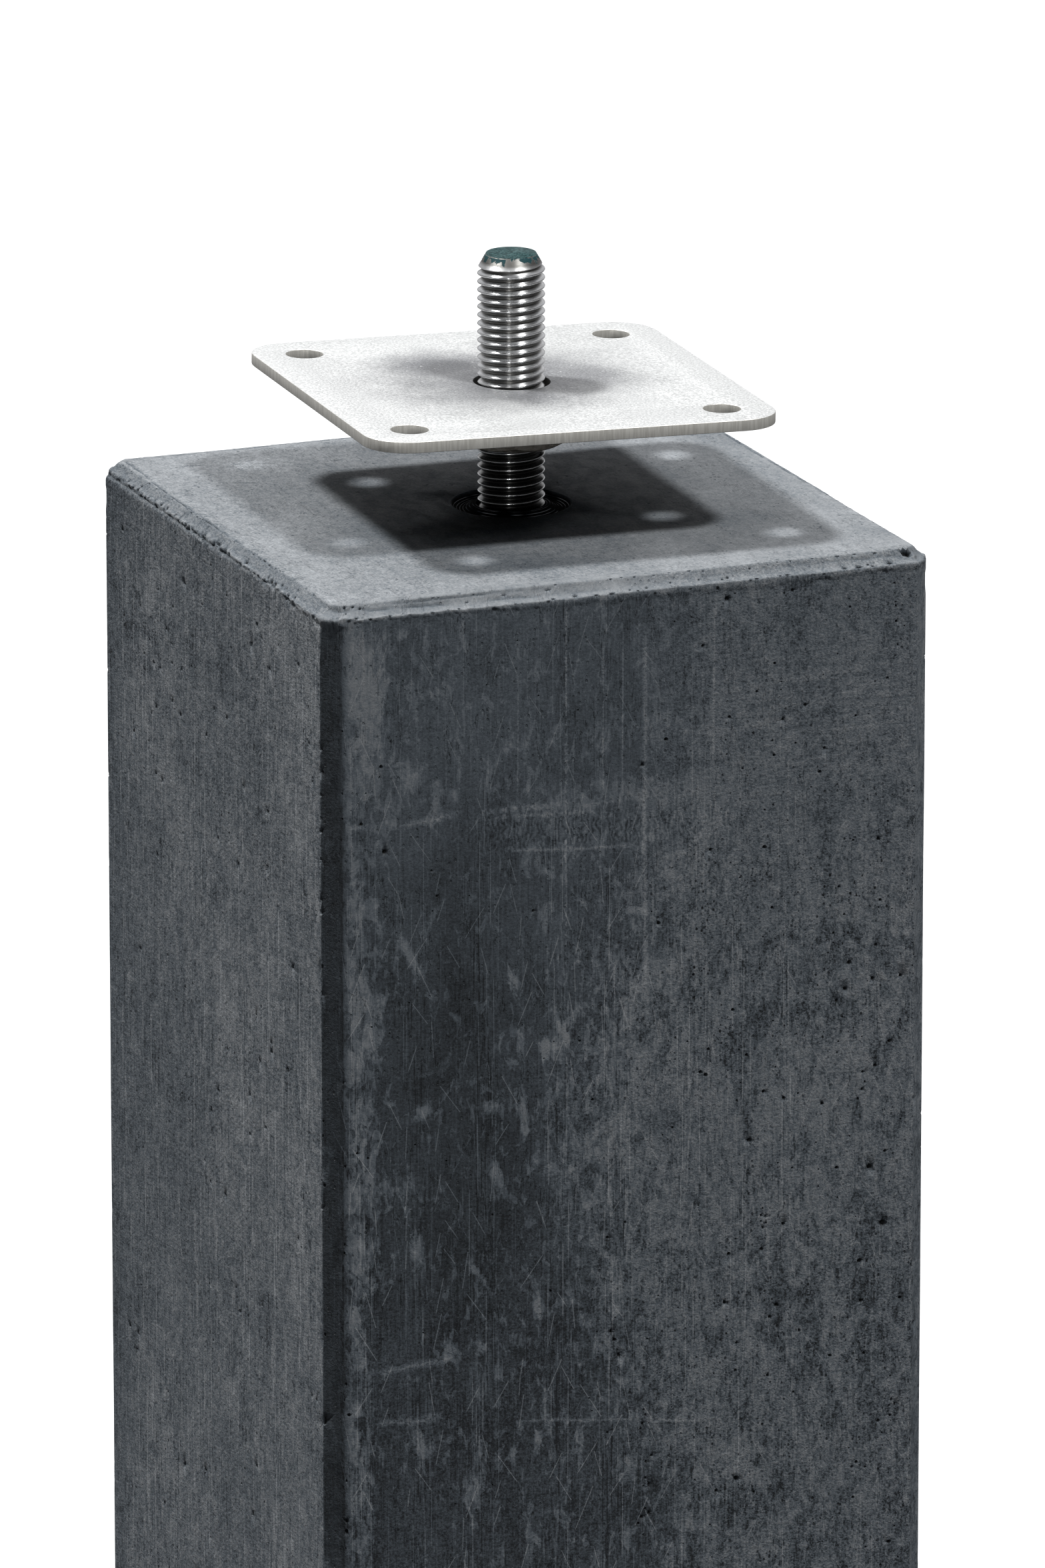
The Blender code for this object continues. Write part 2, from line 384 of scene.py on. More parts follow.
def cast_concrete():
    """Anthracite concrete: a dark smooth skin, worn pale in ragged patches, drawn with
    hairlines and scratches, and dry and pale on top.  Painted shade darkens its pores,
    pinholes and the rim's grooves and dents, the top's tone holds painted shade and light
    from the plate, and the dish is drawn near black with painted highlights on its rim and tool marks."""
    grains, lines, crack_lines, scratches, dots, patches, veins = (draw()
        for draw in (grain_pattern, line_pattern, crack_pattern, scratch_pattern, dot_pattern,
        patch_pattern, web_pattern))
    made, graph, shader = new_material("cast_anthracite_concrete")
    place = graph.add("ShaderNodeUVMap", uv_map="unrolled").outputs[0]
    tone, film, mottle = graph.point_values("skin")
    # marks: pale scuffs and rim paleness (partly painted highlight), painted shade in pores and the rim's
    # grooves with dark lines, and the dish
    scuff, pore, dish = graph.point_values("marks")
    ripple, band, top = graph.point_values("work")
    contrast, rough_grain, hairs = graph.point_values("wear")
    walls = 1.0 - top

    worn = graph.pattern(patches, place, Width=0.0042, Height=0.0075, Streaks=1.1, Softness=0.25,
        Amount=film)
    fine_worn = graph.pattern(patches, graph.moved(place, 3), Width=0.0016, Height=0.0036, Streaks=0.6,
        Softness=0.38, Amount=film)
    web = graph.pattern(veins, graph.stretched(place, 1.0, 0.55, 1.0), Size=0.0019)
    comb = graph.pattern(lines, place, Width=0.00040, Length=0.020, Share=0.55)
    sunk_comb = graph.pattern(lines, graph.moved(place, 11), Width=0.00055, Length=0.028, Share=0.6)
    upright = graph.pattern(scratches, graph.stretched(graph.moved(place, 2), 1.0, 0.20, 1.0),
        Spacing=0.0034, Width=0.00014, Length=0.009, Lean=0.03, Share=0.6)
    crossing = graph.pattern(scratches, graph.moved(place, 5), Spacing=0.007, Width=0.00015, Length=0.018,
        Lean=0.65, Share=0.50)
    cracks = graph.pattern(crack_lines, graph.moved(place, 4), Width=0.0016, Length=0.010, Thinness=0.014,
        Share=0.55)
    pinholes = graph.pattern(dots, graph.stretched(place, 1.0, 0.7, 1.0), Spacing=0.0016, Size=0.21,
        Share=0.42)
    pricks = graph.pattern(dots, graph.moved(place, 8), Spacing=0.0009, Size=0.29, Share=0.42)
    sand = graph.pattern(dots, graph.moved(place, 6), Spacing=0.0013, Size=0.20, Share=0.25)
    grain = graph.pattern(grains, place, Size=0.00062)
    meal = graph.pattern(grains, graph.moved(place, 7), Size=0.0021)
    streak = graph.clouds(graph.scaled(place, 0.0006, 0.0070), detail=3.0, roughness=0.6)
    drift = graph.clouds(graph.scaled(place, 0.012, 0.024), detail=3.0)
    crowd = graph.step(graph.clouds(graph.scaled(graph.moved(place, 9), 0.006, 0.008), detail=2.0), 0.40,
        0.62)
    smear = graph.clouds(graph.scaled(graph.moved(place, 13), 0.015, 0.0012), detail=3.0, roughness=0.6)
    across, up = graph.split(place)[:2]
    wander = graph.clouds(graph.scaled(place, 0.004, 0.004), detail=2.0) - 0.5
    hatch = graph.math("SINE", across * -4200.0 + up * 3600.0 + wander * 5.0)
    writhe = graph.clouds(graph.scaled(graph.moved(place, 12), 0.0024, 0.0032), detail=1.0)
    comb_band = graph.math("SINE", across * 4600.0 + writhe * 15.0)
    tooling = graph.math("SINE", graph.off_axis(object_place(graph)) * 8500.0)

    pale = worn * 1.05 + fine_worn * 0.95 - 1.0
    crossed_by = graph.larger(contrast * 2.6 - 0.36, 0.08)
    lined = hairs * (comb * 0.5 + upright * 0.95) + crossing * crossed_by
    smeared = graph.larger(ripple * -1.0, 0.0)
    dark = (web * mottle * 0.62 + cracks * 0.45 + hatch * ripple * 0.03 + pricks * crowd * mottle * 0.8
        + sunk_comb * hairs * 0.38)
    sheer = (1.0 + pale * contrast + (grain - 0.5) * rough_grain + (meal - 0.5) * rough_grain * 0.62
        + (drift - 0.5) * 0.55 + (streak - 0.5) * hairs * 1.05 + lined * walls + comb_band * band * 0.25
        + sand * top * 0.45 + (smear - 0.5) * smeared * 1.1)
    sheer = sheer - dark * walls
    shade = tone * graph.larger(sheer, 0.15)
    # Pale scuffs, the rim lip's paleness and the dish rim's painted highlight
    shade = shade + scuff * 0.065 * graph.step(grain, 0.3, 0.6, 0.3, 1.0)
    # Painted shade inside pores and pinholes
    holes = graph.larger(pore, pinholes * crowd * (0.15 + mottle * 0.95 + top * 0.1))
    shade = shade * (1.0 - holes * 0.93)
    # The dish is drawn near black, with pale arcs as painted highlights on its tool marks
    painted_arc_glints = graph.step(tooling, 0.6, 0.98) * crowd
    shade = graph.blend(dish, shade, 0.001 + painted_arc_glints * 0.2)
    tint = graph.mix(graph.step(shade, 0.03, 0.12), (0.83, 1.0, 1.17), (0.945, 1.0, 1.055))

    raised = (grain * rough_grain * 0.42 + meal * rough_grain * 0.42 + hatch * ripple * 0.05
        + comb_band * band * 0.07 + streak * hairs * 0.18 + sand * top * 0.3)
    sunk = (cracks * 0.35 + pinholes * crowd * 0.8 + web * mottle * 0.14 + crossing * 0.1
        + pricks * crowd * mottle * 0.3)
    height = graph.blend(dish, raised - sunk, tooling * 0.1)
    rough = 0.6 + worn * 0.15 + top * 0.1 + grain * 0.06
    sheen = graph.blend(top, 0.22, graph.step(tone, 0.02, 0.07, 0.02, 0.22))
    graph.feed(shader, {"Base Color": graph.vector("SCALE", tint, shade),
        "Normal": graph.bump(height, 0.00026), "Roughness": graph.blend(dish, rough, 0.95),
        "Specular IOR Level": sheen, "IOR": 1.45})
    return made


def object_place(graph):
    return graph.add("ShaderNodeTexCoord").outputs["Object"]


# Colours of the cut thread, of what lies on it and of the painted shade on it
CUT_STEEL = (0.63, 0.64, 0.65)
SMEARED_STEEL = (0.47, 0.455, 0.425)
TURNED_STEEL = (0.42, 0.41, 0.39)
THREAD_ROOT_DARK = (0.055, 0.051, 0.040)
THREAD_SPECKS = (0.12, 0.11, 0.095)
THREAD_SHADE_BELOW_NUT = (0.020, 0.020, 0.019)
DISH_SHADE_BLACK = (0.004, 0.004, 0.004)
END_PAINT = ((0.0002, 0.008, 0.011), (0.001, 0.026, 0.030))
END_FACE_PAINT = ((0.003, 0.012, 0.013), (0.026, 0.053, 0.054))

# Colours of the plate's faces, of its sheared edges and of the nut
PLATE_BRIGHT = ((0.480, 0.486, 0.483), (0.285, 0.289, 0.287))
PLATE_DRIFT = (0.34, 0.344, 0.344)
PLATE_BLUED = ((0.135, 0.138, 0.145), (0.074, 0.076, 0.081))
PLATE_FLECKS = (0.10, 0.10, 0.095)
PLATE_PAINTED_GLINTS = (0.90, 0.90, 0.89)
PLATE_SHEARED = ((0.40, 0.392, 0.365), (0.32, 0.312, 0.288))
CENTRE_HOLE_SHADE = (0.02, 0.019, 0.018)
PLATE_UNDERSIDE_SHADE = ((0.050, 0.049, 0.048), (0.085, 0.082, 0.078))
NUT_SCALE = ((0.40, 0.365, 0.315), (0.22, 0.195, 0.165))
NUT_DRAWN = (0.10, 0.088, 0.072)
NUT_GRAIN = (0.12, 0.11, 0.10)
NUT_BORE_SHADE = (0.012, 0.011, 0.010)

# Weld heat on the plate's top, as x, y, reach in metres and strength
HEAT_MARKS = [(-0.0100, 0.018, 0.024, 0.92), (0.0165, -0.001, 0.021, 0.85),
    (-0.001, -0.0145, 0.018, 0.90), (-0.001, 0.001, 0.042, 0.92)]


def thread_steel():
    """Bright cut steel, darker deep in the thread, with grey-teal paint on the end.  Below
    the nut the thread is drawn dark but for its crests, and in the dish black, both painted shade."""
    made, graph, shader = new_material("bright_cut_thread")
    place = object_place(graph)
    height = graph.split(place)[2]
    ring = graph.off_axis(place)
    turned = graph.clouds(graph.stretched(place, 120.0, 120.0, 7000.0), detail=2.0, flat=False)
    smear = graph.step(graph.grit(graph.stretched(place, 1.0, 1.0, 1.6), 0.0035, 5.0), 0.42, 0.66)
    speck = graph.step(graph.grit(place, 0.0007), 0.62, 0.72)
    # Darker deep in the thread, toward its roots
    depth = graph.step(ring, ROD_RADIUS - 0.50 * MM, ROD_RADIUS - 1.08 * MM)
    # Painted shade on the thread below the nut, crests left bright
    shaded_below_nut = graph.step(height, SHADED_BELOW + MM, SHADED_BELOW) * graph.step(ring, ROD_RADIUS - 0.1 * MM,
        ROD_RADIUS - 0.22 * MM)
    # Painted shade: the rod drawn black where it stands in the dish
    shaded_in_dish = graph.step(height, BLOCK_HEIGHT + 0.45 * MM, BLOCK_HEIGHT - 0.15 * MM)
    steel = graph.layered(CUT_STEEL, (smear * 0.22, SMEARED_STEEL),
        (graph.step(turned, 0.4, 0.62) * 0.28, TURNED_STEEL), (depth * 0.8, THREAD_ROOT_DARK),
        (speck * 0.4, THREAD_SPECKS), (shaded_below_nut * 0.88, THREAD_SHADE_BELOW_NUT), (shaded_in_dish, DISH_SHADE_BLACK))

    run = graph.grit(graph.stretched(place, 1.0, 1.0, 0.30), 0.0017)
    wide = graph.step(graph.grit(graph.stretched(place, 1.0, 1.0, 0.2), 0.0060, 1.0), 0.48, 0.60)
    line = ROD_TOP - 4 * MM + run * (5.2 * MM) + wide * (1.8 * MM)
    paint = graph.step(height, line - 0.12 * MM, line + 0.04 * MM)
    end = graph.step(height, ROD_TOP - 0.22 * MM, ROD_TOP - 0.08 * MM)
    rim = graph.step(abs(height - (ROD_TOP - 0.24 * MM)), 0.14 * MM, 0.04 * MM)
    worn_rim = 1.0 - rim * graph.step(run, 0.42, 0.55)
    paint = graph.larger(paint * 0.97, end) * worn_rim
    flake = graph.grit(place, 0.00050, 4.0)
    cap = graph.mix(graph.step(flake, 0.40, 0.62), *END_FACE_PAINT)
    coat = graph.mix(end, graph.mix(flake, *END_PAINT), cap)
    bare = graph.step(height, ROD_TOP - ROD_END_TAPER - 0.3 * MM, ROD_TOP - ROD_END_TAPER)
    rough = 0.21 + smear * 0.06 + depth * 0.1 + speck * 0.15 + paint * 0.25 + bare * 0.22
    relief = turned * 0.8 + smear * 0.12 + flake * paint * 1.5
    graph.feed(shader, {"Base Color": graph.mix(paint, steel, coat), "Metallic": 1.0 - paint,
        "Roughness": rough, "Specular IOR Level": 0.15, "Anisotropic": 0.80, "Anisotropic Rotation": 0.25,
        "Tangent": graph.vector("CROSS_PRODUCT", (0.0, 0.0, 1.0), place),
        "Normal": graph.bump(relief, 0.03 * MM)})
    return made


def plate_steel():
    """Pale satin steel, grey-blue over the welds beneath, with brown-grey sheared edges,
    painted glints, and painted shade on the underside and the centre hole's wall."""
    made, graph, shader = new_material("satin_steel_plate")
    place = object_place(graph)
    facing = graph.split(graph.add("ShaderNodeNewGeometry").outputs["Normal"])[2]
    flat = graph.step(abs(facing), 0.55, 0.9)
    grain = graph.grit(place, 0.00055)
    coarse = graph.step(grain, 0.36, 0.64)
    drift = graph.grit(place, 0.014)
    warp = graph.grit(place, 0.016, 4.0)
    fleck = graph.step(graph.grit(place, 0.0010), 0.68, 0.74)
    # Painted glints: tiny bright specks standing in for the grit's sparkle
    painted_glint = graph.step(graph.grit(place, 0.00075), 0.66, 0.72)
    heat = None
    for x, y, reach, strength in HEAT_MARKS:
        away = graph.off_axis(graph.vector("SUBTRACT", place, (x, y, 0.0)))
        away = away + (warp - 0.5) * (reach * 0.7)
        spot = graph.step(away, reach, reach * 0.18, 0.0, strength)
        heat = spot if heat is None else graph.larger(heat, spot)
    # The downward faces are drawn dark as painted shade
    face = graph.layered(graph.mix(coarse, *PLATE_BRIGHT), (graph.step(drift, 0.4, 0.6, 0.0, 0.2),
        PLATE_DRIFT), (heat, graph.mix(coarse, *PLATE_BLUED)), (fleck * 0.6, PLATE_FLECKS),
        (painted_glint * 0.55, PLATE_PAINTED_GLINTS), (graph.step(facing, -0.5, -0.8),
        graph.mix(graph.step(warp, 0.4, 0.6), *PLATE_UNDERSIDE_SHADE)))
    sheared = graph.clouds(graph.stretched(place, 2200.0, 2200.0, 160.0), detail=2.0, flat=False)
    # Painted shade on the centre hole's wall, round the rod
    inside = graph.step(graph.off_axis(place), CENTRE_HOLE_RADIUS + 0.8 * MM,
        CENTRE_HOLE_RADIUS + 0.3 * MM)
    side = graph.layered(graph.mix(graph.step(sheared, 0.35, 0.65), *PLATE_SHEARED),
        (inside * 0.95, CENTRE_HOLE_SHADE))
    relief = graph.blend(flat, sheared * 0.5, grain - fleck * 0.6)
    graph.feed(shader, {"Base Color": graph.mix(flat, side, face),
        "Metallic": graph.blend(flat, 0.45, 0.5), "Roughness": 0.48 + (drift - 0.5) * 0.1,
        "Normal": graph.bump(relief, 0.06 * MM)})
    return made


def nut_steel():
    """Dull brown-grey steel with darker scale, nearly black round its bore."""
    made, graph, shader = new_material("dull_scaled_steel")
    place = object_place(graph)
    deep = graph.step(graph.off_axis(place), NUT_FACE_RADIUS - 0.6 * MM, NUT_FACE_RADIUS - 1.6 * MM)
    grain = graph.grit(place, 0.0005)
    drawn = graph.clouds(graph.stretched(place, 300.0, 300.0, 5000.0), detail=2.0, flat=False)
    scale = graph.step(graph.grit(place, 0.004, 5.0), 0.42, 0.62)
    tint = graph.layered(graph.mix(scale, *NUT_SCALE), (graph.step(drawn, 0.45, 0.7, 0.0, 0.6),
        NUT_DRAWN), (grain * 0.4, NUT_GRAIN), (deep * 0.92, NUT_BORE_SHADE))
    graph.feed(shader, {"Base Color": tint, "Metallic": 0.85, "Roughness": 0.38 + scale * 0.15,
        "Normal": graph.bump(grain + drawn * 0.4, 0.08 * MM)})
    return made


def floor_finish():
    """Pale matt floor that throws little of the lamps' light back up."""
    made, graph, shader = new_material("pale_floor")
    graph.feed(shader, {"Base Color": (0.36, 0.36, 0.36, 1.0), "Roughness": 0.9,
        "Specular IOR Level": 0.0})
    quiet = graph.add("ShaderNodeBsdfDiffuse", {"Color": (0.05, 0.05, 0.052, 1.0)})
    seen = graph.add("ShaderNodeLightPath").outputs["Is Camera Ray"]
    blend = graph.add("ShaderNodeMixShader", {0: seen, 1: quiet.outputs[0], 2: shader.outputs[0]})
    graph.wire(blend.outputs[0], made.node_tree.nodes["Material Output"].inputs["Surface"])
    return made


def placed_object(name, data):
    """A new object at the origin."""
    made = bpy.data.objects.new(name, data)
    bpy.context.scene.collection.objects.link(made)
    return made


def object_from(name, mesh, finish):
    """A plain mesh as a shown object at the origin, with its one finish."""
    mesh.materials.clear()
    mesh.materials.append(finish)
    return placed_object(name, mesh)


def finished_mesh(thing, name):
    """The evaluated mesh of a working object, which is then removed."""
    depsgraph = bpy.context.evaluated_depsgraph_get()
    mesh = bpy.data.meshes.new_from_object(thing.evaluated_get(depsgraph))
    mesh.name = name
    bpy.data.objects.remove(thing)
    return mesh


def held(values):
    return np.clip(values, 0, 1)


def hump(values, middle, reach, power=2):
    """1 at the middle, and falling off to nought past reach on both sides of it."""
    return np.exp(-((values - middle) / reach) ** power)


def columns(*values):
    return np.stack(values, axis=1)


def field(points, size, seed, stretch=(1.0, 1.0, 1.0)):
    """Smooth random value between about -1 and 1 at each point, with lumps of one
    size."""
    spots = points * (np.array(stretch) / size) + np.array((seed * 7.31, seed * 3.17, seed * 5.93))
    return np.array([noise.noise(Vector(spot)) for spot in spots])


# How far the block's corners and rims are eased on both sides of their bends, in
# millimetres: every upright corner, more at the front left one, and the rims
CORNER_EASE = 0.32
FRONT_CORNER_EASE = 1.5
RIM_EASE = 0.62
EASE_STEPS = np.linspace(-1, 1, 7)


class CastBlock:
    """The block's walls and rims unrolled flat, in millimetres: s runs round the
    outline anticlockwise from the back, t from the underside's rim up over the top's.
    At both ends they run in over the flat top and underside by the lap."""

    def __init__(self):
        self.half = half = BLOCK_WIDTH / MM / 2
        chamfer = UPRIGHT_CHAMFER / MM
        self.rim = RIM_CHAMFER / MM
        self.height = BLOCK_HEIGHT / MM
        self.flat = 2 * (half - chamfer)
        self.bevel = chamfer * math.sqrt(2)
        inner = half - chamfer
        self.corners = np.array([(inner, half), (-inner, half), (-half, inner), (-half, -inner),
            (-inner, -half), (inner, -half), (half, -inner), (half, inner)])
        pull = math.sqrt(2) - 1
        self.shifts = np.where(np.abs(self.corners) == half, -1.0, -pull) * np.sign(self.corners)
        self.knots = np.concatenate([[0.0], np.cumsum([self.flat, self.bevel] * 4)])
        self.around = self.knots[-1]
        self.slope = self.rim * math.sqrt(2)
        self.rise = self.height - 2 * self.rim
        self.top_edge = self.slope + self.rise
        self.top_ridge = self.top_edge + self.slope
        self.lap = 2.6
        self.bottom = -self.lap
        self.top = self.top_ridge + self.lap

    def front(self, x, drop):
        """Place on the front face, x across it and drop below the block's top."""
        return (self.knots[4] + x + self.flat / 2, self.top_edge + self.rim - drop)

    def left(self, y, drop):
        return (self.knots[2] + self.flat / 2 - y, self.top_edge + self.rim - drop)

    def front_rim(self, x, up):
        """Place on the front's top chamfer, up its slope from the outer edge."""
        return (self.knots[4] + x + self.flat / 2, self.top_edge + up)

    def left_rim(self, y, up):
        return (self.knots[2] + self.flat / 2 - y, self.top_edge + up)

    def along(self, s, values):
        """A corner value carried along the outline, corners eased."""
        ease = CORNER_EASE + FRONT_CORNER_EASE * hump(s, self.knots[4], 3.0)
        knots = np.concatenate([self.knots[-4:-1] - self.around, self.knots,
            self.knots[1:4] + self.around])
        ring = np.concatenate([values[-3:], values, values[:4]])
        return np.mean([np.interp(s + ease * step, knots, ring) for step in EASE_STEPS], axis=0)

    def profile(self, t):
        """How far in from the wall, and how high, each t lies."""
        knots = [-20.0, 0.0, self.slope, self.top_edge, self.top_ridge, self.top_ridge + 20.0]
        inset = [self.rim + 20.0, self.rim, 0.0, 0.0, self.rim, self.rim + 20.0]
        level = [0.0, 0.0, self.rim, self.height - self.rim, self.height, self.height]
        return [np.mean([np.interp(t + RIM_EASE * step, knots, course) for step in EASE_STEPS], axis=0)
            for course in (inset, level)]

    def place(self, s, t):
        inset, level = self.profile(t)
        x = self.along(s, self.corners[:, 0]) + inset * self.along(s, self.shifts[:, 0])
        y = self.along(s, self.corners[:, 1]) + inset * self.along(s, self.shifts[:, 1])
        return columns(x, y, level)

    def outward(self, s, t):
        step = 0.12
        across = self.place(s + step, t) - self.place(s - step, t)
        up = self.place(s, t + step) - self.place(s, t - step)
        normal = np.cross(across, up)
        return normal / np.linalg.norm(normal, axis=1)[:, None]


def triangles_between(points):
    """Flat points joined into triangles: (points, triangles)."""
    found = delaunay_2d_cdt([Vector(point) for point in points], [], [], 0, 1e-6)
    return np.array([tuple(point) for point in found[0]]), [tuple(face) for face in found[2]]


def without_slivers(flat, faces, ring):
    """The triangles without those that lie flat along a straight run of the ring."""
    rim = {tuple(point) for point in np.round(ring[:, :2], 3)}
    on_rim = [tuple(point) in rim for point in np.round(flat, 3)]
    kept = []
    for face in faces:
        first, second, third = (flat[corner] for corner in face)
        area = abs((second[0] - first[0]) * (third[1] - first[1])
            - (second[1] - first[1]) * (third[0] - first[0]))
        if area > 0.003 or not all(on_rim[corner] for corner in face):
            kept.append(face)
    return kept


def ring_points(centre, radius, count, stretch=(1.0, 1.0), turn=0.0):
    angles = np.arange(count) / count * math.tau + turn
    return columns(centre[0] + radius * stretch[0] * np.cos(angles),
        centre[1] + radius * stretch[1] * np.sin(angles))


def pore_dots(pores, rims, turn):
    """Points over each pore: its middle, a ring inside it, its rim and one round that."""
    found = []
    for s, t, across, up, _ in pores:
        found.append(np.array([(s, t)]))
        for radius, count, start in ((0.6, 5, s), (rims[0], 7, s), (rims[1], 7, s + turn)):
            found.append(ring_points((s, t), radius, count, (across, up), start))
    return np.concatenate(found)


def clear_of_pores(points, pores, room):
    """The points that lie outside every pore, by room times its longer radius."""
    centres = [pore[:2] for pore in pores]
    return points[far_from(points, centres, [room * max(pore[2:4]) + 0.1 for pore in pores])]


def spaced(low, high, spacing):
    """Evenly spaced values from low to high, both ends included."""
    count = max(2, int(round((high - low) / spacing)) + 1)
    return np.linspace(low, high, count)


# How much of the block the picture shows, and how near a pore may come to the seam of
# the unrolled walls, in millimetres
SEEN_DEPTH = 245.0
SEAM_CLEARANCE = 2.5

# Larger pores: place across the face, drop below the block's top and radius, in
# millimetres
FRONT_PORES = [(63.5, 161.7, .78), (72.0, 187.3, .6), (60.1, 147.6, .69), (26.8, 219.8, .62),
    (29.7, 137.6, .55), (57.6, 170.2, .51), (53.6, 103.6, .48), (60.5, 101.9, .47), (36.7, 178.5, .46),
    (33.1, 67.3, .45), (58.1, 180.0, .45), (65.6, 240.3, .45), (-60.7, 58.5, .53), (2.9, 226.3, .43),
    (-69.9, 192.4, .43), (51.7, 146.8, .41), (-4.0, 182.1, .41), (32.8, 164.4, .4), (35.0, 181.2, .39),
    (63.9, 144.1, .39), (64.8, 117.5, .41), (67.5, 101.9, .41), (8.5, 39.0, .42), (54.5, 97.4, .5),
    (61.2, 123.0, .38), (62.6, 210.0, .37), (46.8, 50.7, .38), (71.4, 81.7, .36), (-66.4, 51.4, .36),
    (23.6, 7.2, .55)]
LEFT_PORES = [(-36.1, 71.1, .4), (-30.2, 14.6, .39), (1.8, 140.3, .39), (59.2, 13.9, .37),
    (-38.3, 114.7, .42), (-26.3, 20.4, .43), (-3.9, 72.5, .34), (37.3, 51.6, .33), (-1.7, 42.0, .33),
    (3.6, 49.7, .32), (33.6, 68.5, .32), (-34.3, 134.2, .32), (-10.0, 42.1, .31), (52.7, 61.4, .31),
    (-33.4, 17.2, .29), (-36.8, 57.5, .34), (-30.7, 119.1, .35), (-24.0, 129.1, .35), (-23.6, 138.8, .32),
    (39.1, 41.1, .34), (34.6, 41.3, .32), (26.5, 38.1, .3), (19.9, 38.0, .3), (13.3, 35.6, .28),
    (26.6, 47.4, .3), (-38.4, 23.1, .3), (25.6, 24.3, .3), (5.9, 18.8, .28), (37.9, 67.9, .3),
    (45.2, 40.5, .3), (41.5, 36.3, .28), (-17.0, 75.4, .34), (26.4, 33.6, .26), (30.2, 30.8, .28),
    (-71.0, 33.7, .36), (-71.0, 39.1, .48), (-70.9, 44.5, .34), (-70.9, 50.0, .32), (-70.9, 53.2, .36),
    (-70.8, 59.8, .32), (-70.8, 69.3, .36), (-70.8, 72.4, .42)]

# Short upright strings of small pores: place across the front and drop
PORE_STRINGS = [(-3.8, 184), (3.8, 205), (3.9, 217), (3.4, 227), (66, 205), (58, 128), (33, 158)]

# Holes in the top rim: place along it, height up its slope, radius along and radius up
LEFT_RIM_HOLES = [(58.4, 1.5, .4, .3), (51.4, 1.2, .4, .3), (43.3, 1.0, .5, .35), (32.1, 1.4, .5, .5),
    (25.8, 1.0, .5, .4), (19.6, .3, .4, .35), (18.2, 4.6, .45, .3), (30.2, 4.7, .4, .3),
    (5.8, 1.4, .7, .4), (-2.6, 1.2, 1.7, .45), (-10.7, .4, .8, .7), (-18.9, -.3, .4, .7),
    (-49.7, .2, .7, .4), (-53.4, .9, .4, .35), (11.0, 4.4, .8, .2), (24.0, 4.5, 1.2, .2),
    (-28.0, 4.3, 1.0, .2)]
FRONT_RIM_HOLES = [(21.1, -1.3, .5, .55), (5.6, -1.0, .45, .35), (-48.9, -.3, .5, .35),
    (10.0, 1.5, .25, .2), (29.3, -.3, .4, .3), (70.1, 3.4, 1.5, 1.5), (70.4, .7, 1.2, .6),
    (17.1, 1.5, .25, .2), (30.4, 3.1, .3, .25), (-70.6, 3.7, .5, .35), (-69.6, 3.1, .45, .4),
    (-68.3, 3.6, .4, .3), (-70.0, 2.2, .3, .25), (-66.5, 3.0, .35, .25), (-67.4, .4, .5, .35),
    (-69.3, -.2, .6, .45), (-64.0, -.4, .4, .3), (-40.2, 1.9, .5, .15), (-31.0, 2.7, .6, .15),
    (-20.0, 2.9, .8, .15), (37.7, 4.1, .3, .2), (41.0, 4.0, .25, .2)]

# Patches of the front, pale above nought and dark below it: place across, drop, half
# width, half height, lean and amount
FRONT_PATCHES = [(-67.5, 18, 5, 15, 0, .5), (-57, 39, 3.5, 9, 0, .4), (-54, 42, 2.4, 4.5, .1, .6),
    (-48, 48, 1.0, 5, 0, .9), (-43, 46, 1.0, 7, .1, .9), (-35.4, 43, 2.0, 4.2, .3, .7),
    (-12.5, 40.3, 3.0, 1.8, 0, .7), (-59, 50, 3.0, 3.5, 0, .6), (-40.6, 52, 3.2, 13, 0, -.7),
    (4, 36, 26, 3.2, 0, .5), (-8, 50, 26, 3.4, 0, .7), (28, 52, 16, 2.6, 0, .45),
    (28.5, 46.5, 4.5, 2, .4, 1.1), (-54, 85, 1.3, 6, -.5, 1.1), (-29.5, 92, 1.1, 5, -.4, .9),
    (-28, 106, 1.2, 3.2, -.1, 1.0), (-21, 110, 2.4, 2, 0, .8), (-17, 106, 1.0, 4, -.4, .9),
    (-34, 122, 3.0, 2.0, 0, 1.0), (-26.5, 126, 1.0, 5, 0, 1.0), (-33, 140, 1.5, 4, -.2, 1.0),
    (-9, 136.5, 3.5, 1.3, 0, .9), (-51, 121, 2.5, 2.5, 0, .8), (-56, 139, 2.5, 4, 0, .8),
    (-53, 155, 1.5, 5, 0, .9), (-38, 162, 1.1, 4, -.8, 1.0), (-23, 172, 1.1, 4, -.1, 1.0),
    (-28, 178.5, 2, 1.2, 0, .9), (-45, 180, 3, 3, 0, .8), (20.5, 193, 2.3, 3.3, 0, 1.0),
    (-52, 204, 1.2, 5, -.2, .9), (-38, 204, 1.0, 4, .1, .9), (-29, 207, 1.0, 4, 0, .8),
    (-23, 205, 1.2, 3, 0, .8), (-13, 206, 1.1, 4, 0, .8), (-39, 215, 2, 6, 0, .7), (28, 218, 3, 2, 0, .8),
    (52, 84, 5, 3, 0, .6), (57, 102, 6, 3, 0, .6), (28, 130, 22, 14, 0, .35), (45, 155, 8, 6, 0, .3),
    (55, 25, 14, 16, 0, .3), (40, 50, 16, 8, 0, .3), (-5, 56, 30, 5, 0, .25), (-54, 62, 7, 9, 0, -.9),
    (-54, 104, 5, 5, 0, -1.1), (-56, 115, 8, 4, 0, -.8), (-55, 131, 6, 6, 0, -.5),
    (-57, 172, 6, 9, 0, -.8), (-57, 190, 6, 5, 0, -.8), (-55, 222, 8, 9, 0, -.8),
    (-30, 82, 10, 8, 0, -.4), (46, 100, 16, 12, 0, -.45), (8, 45, 14, 1.6, 0, -.8),
    (22, 186, 4, 4, 0, -.6), (36, 176, 3, 8, 0, -.5), (30, 226, 9, 5, 0, -.6), (60, 162, 6, 9, 0, -.4),
    (-54, 15, 9, 10, 0, .3), (-8, 98, 9, 13, 0, .2)]
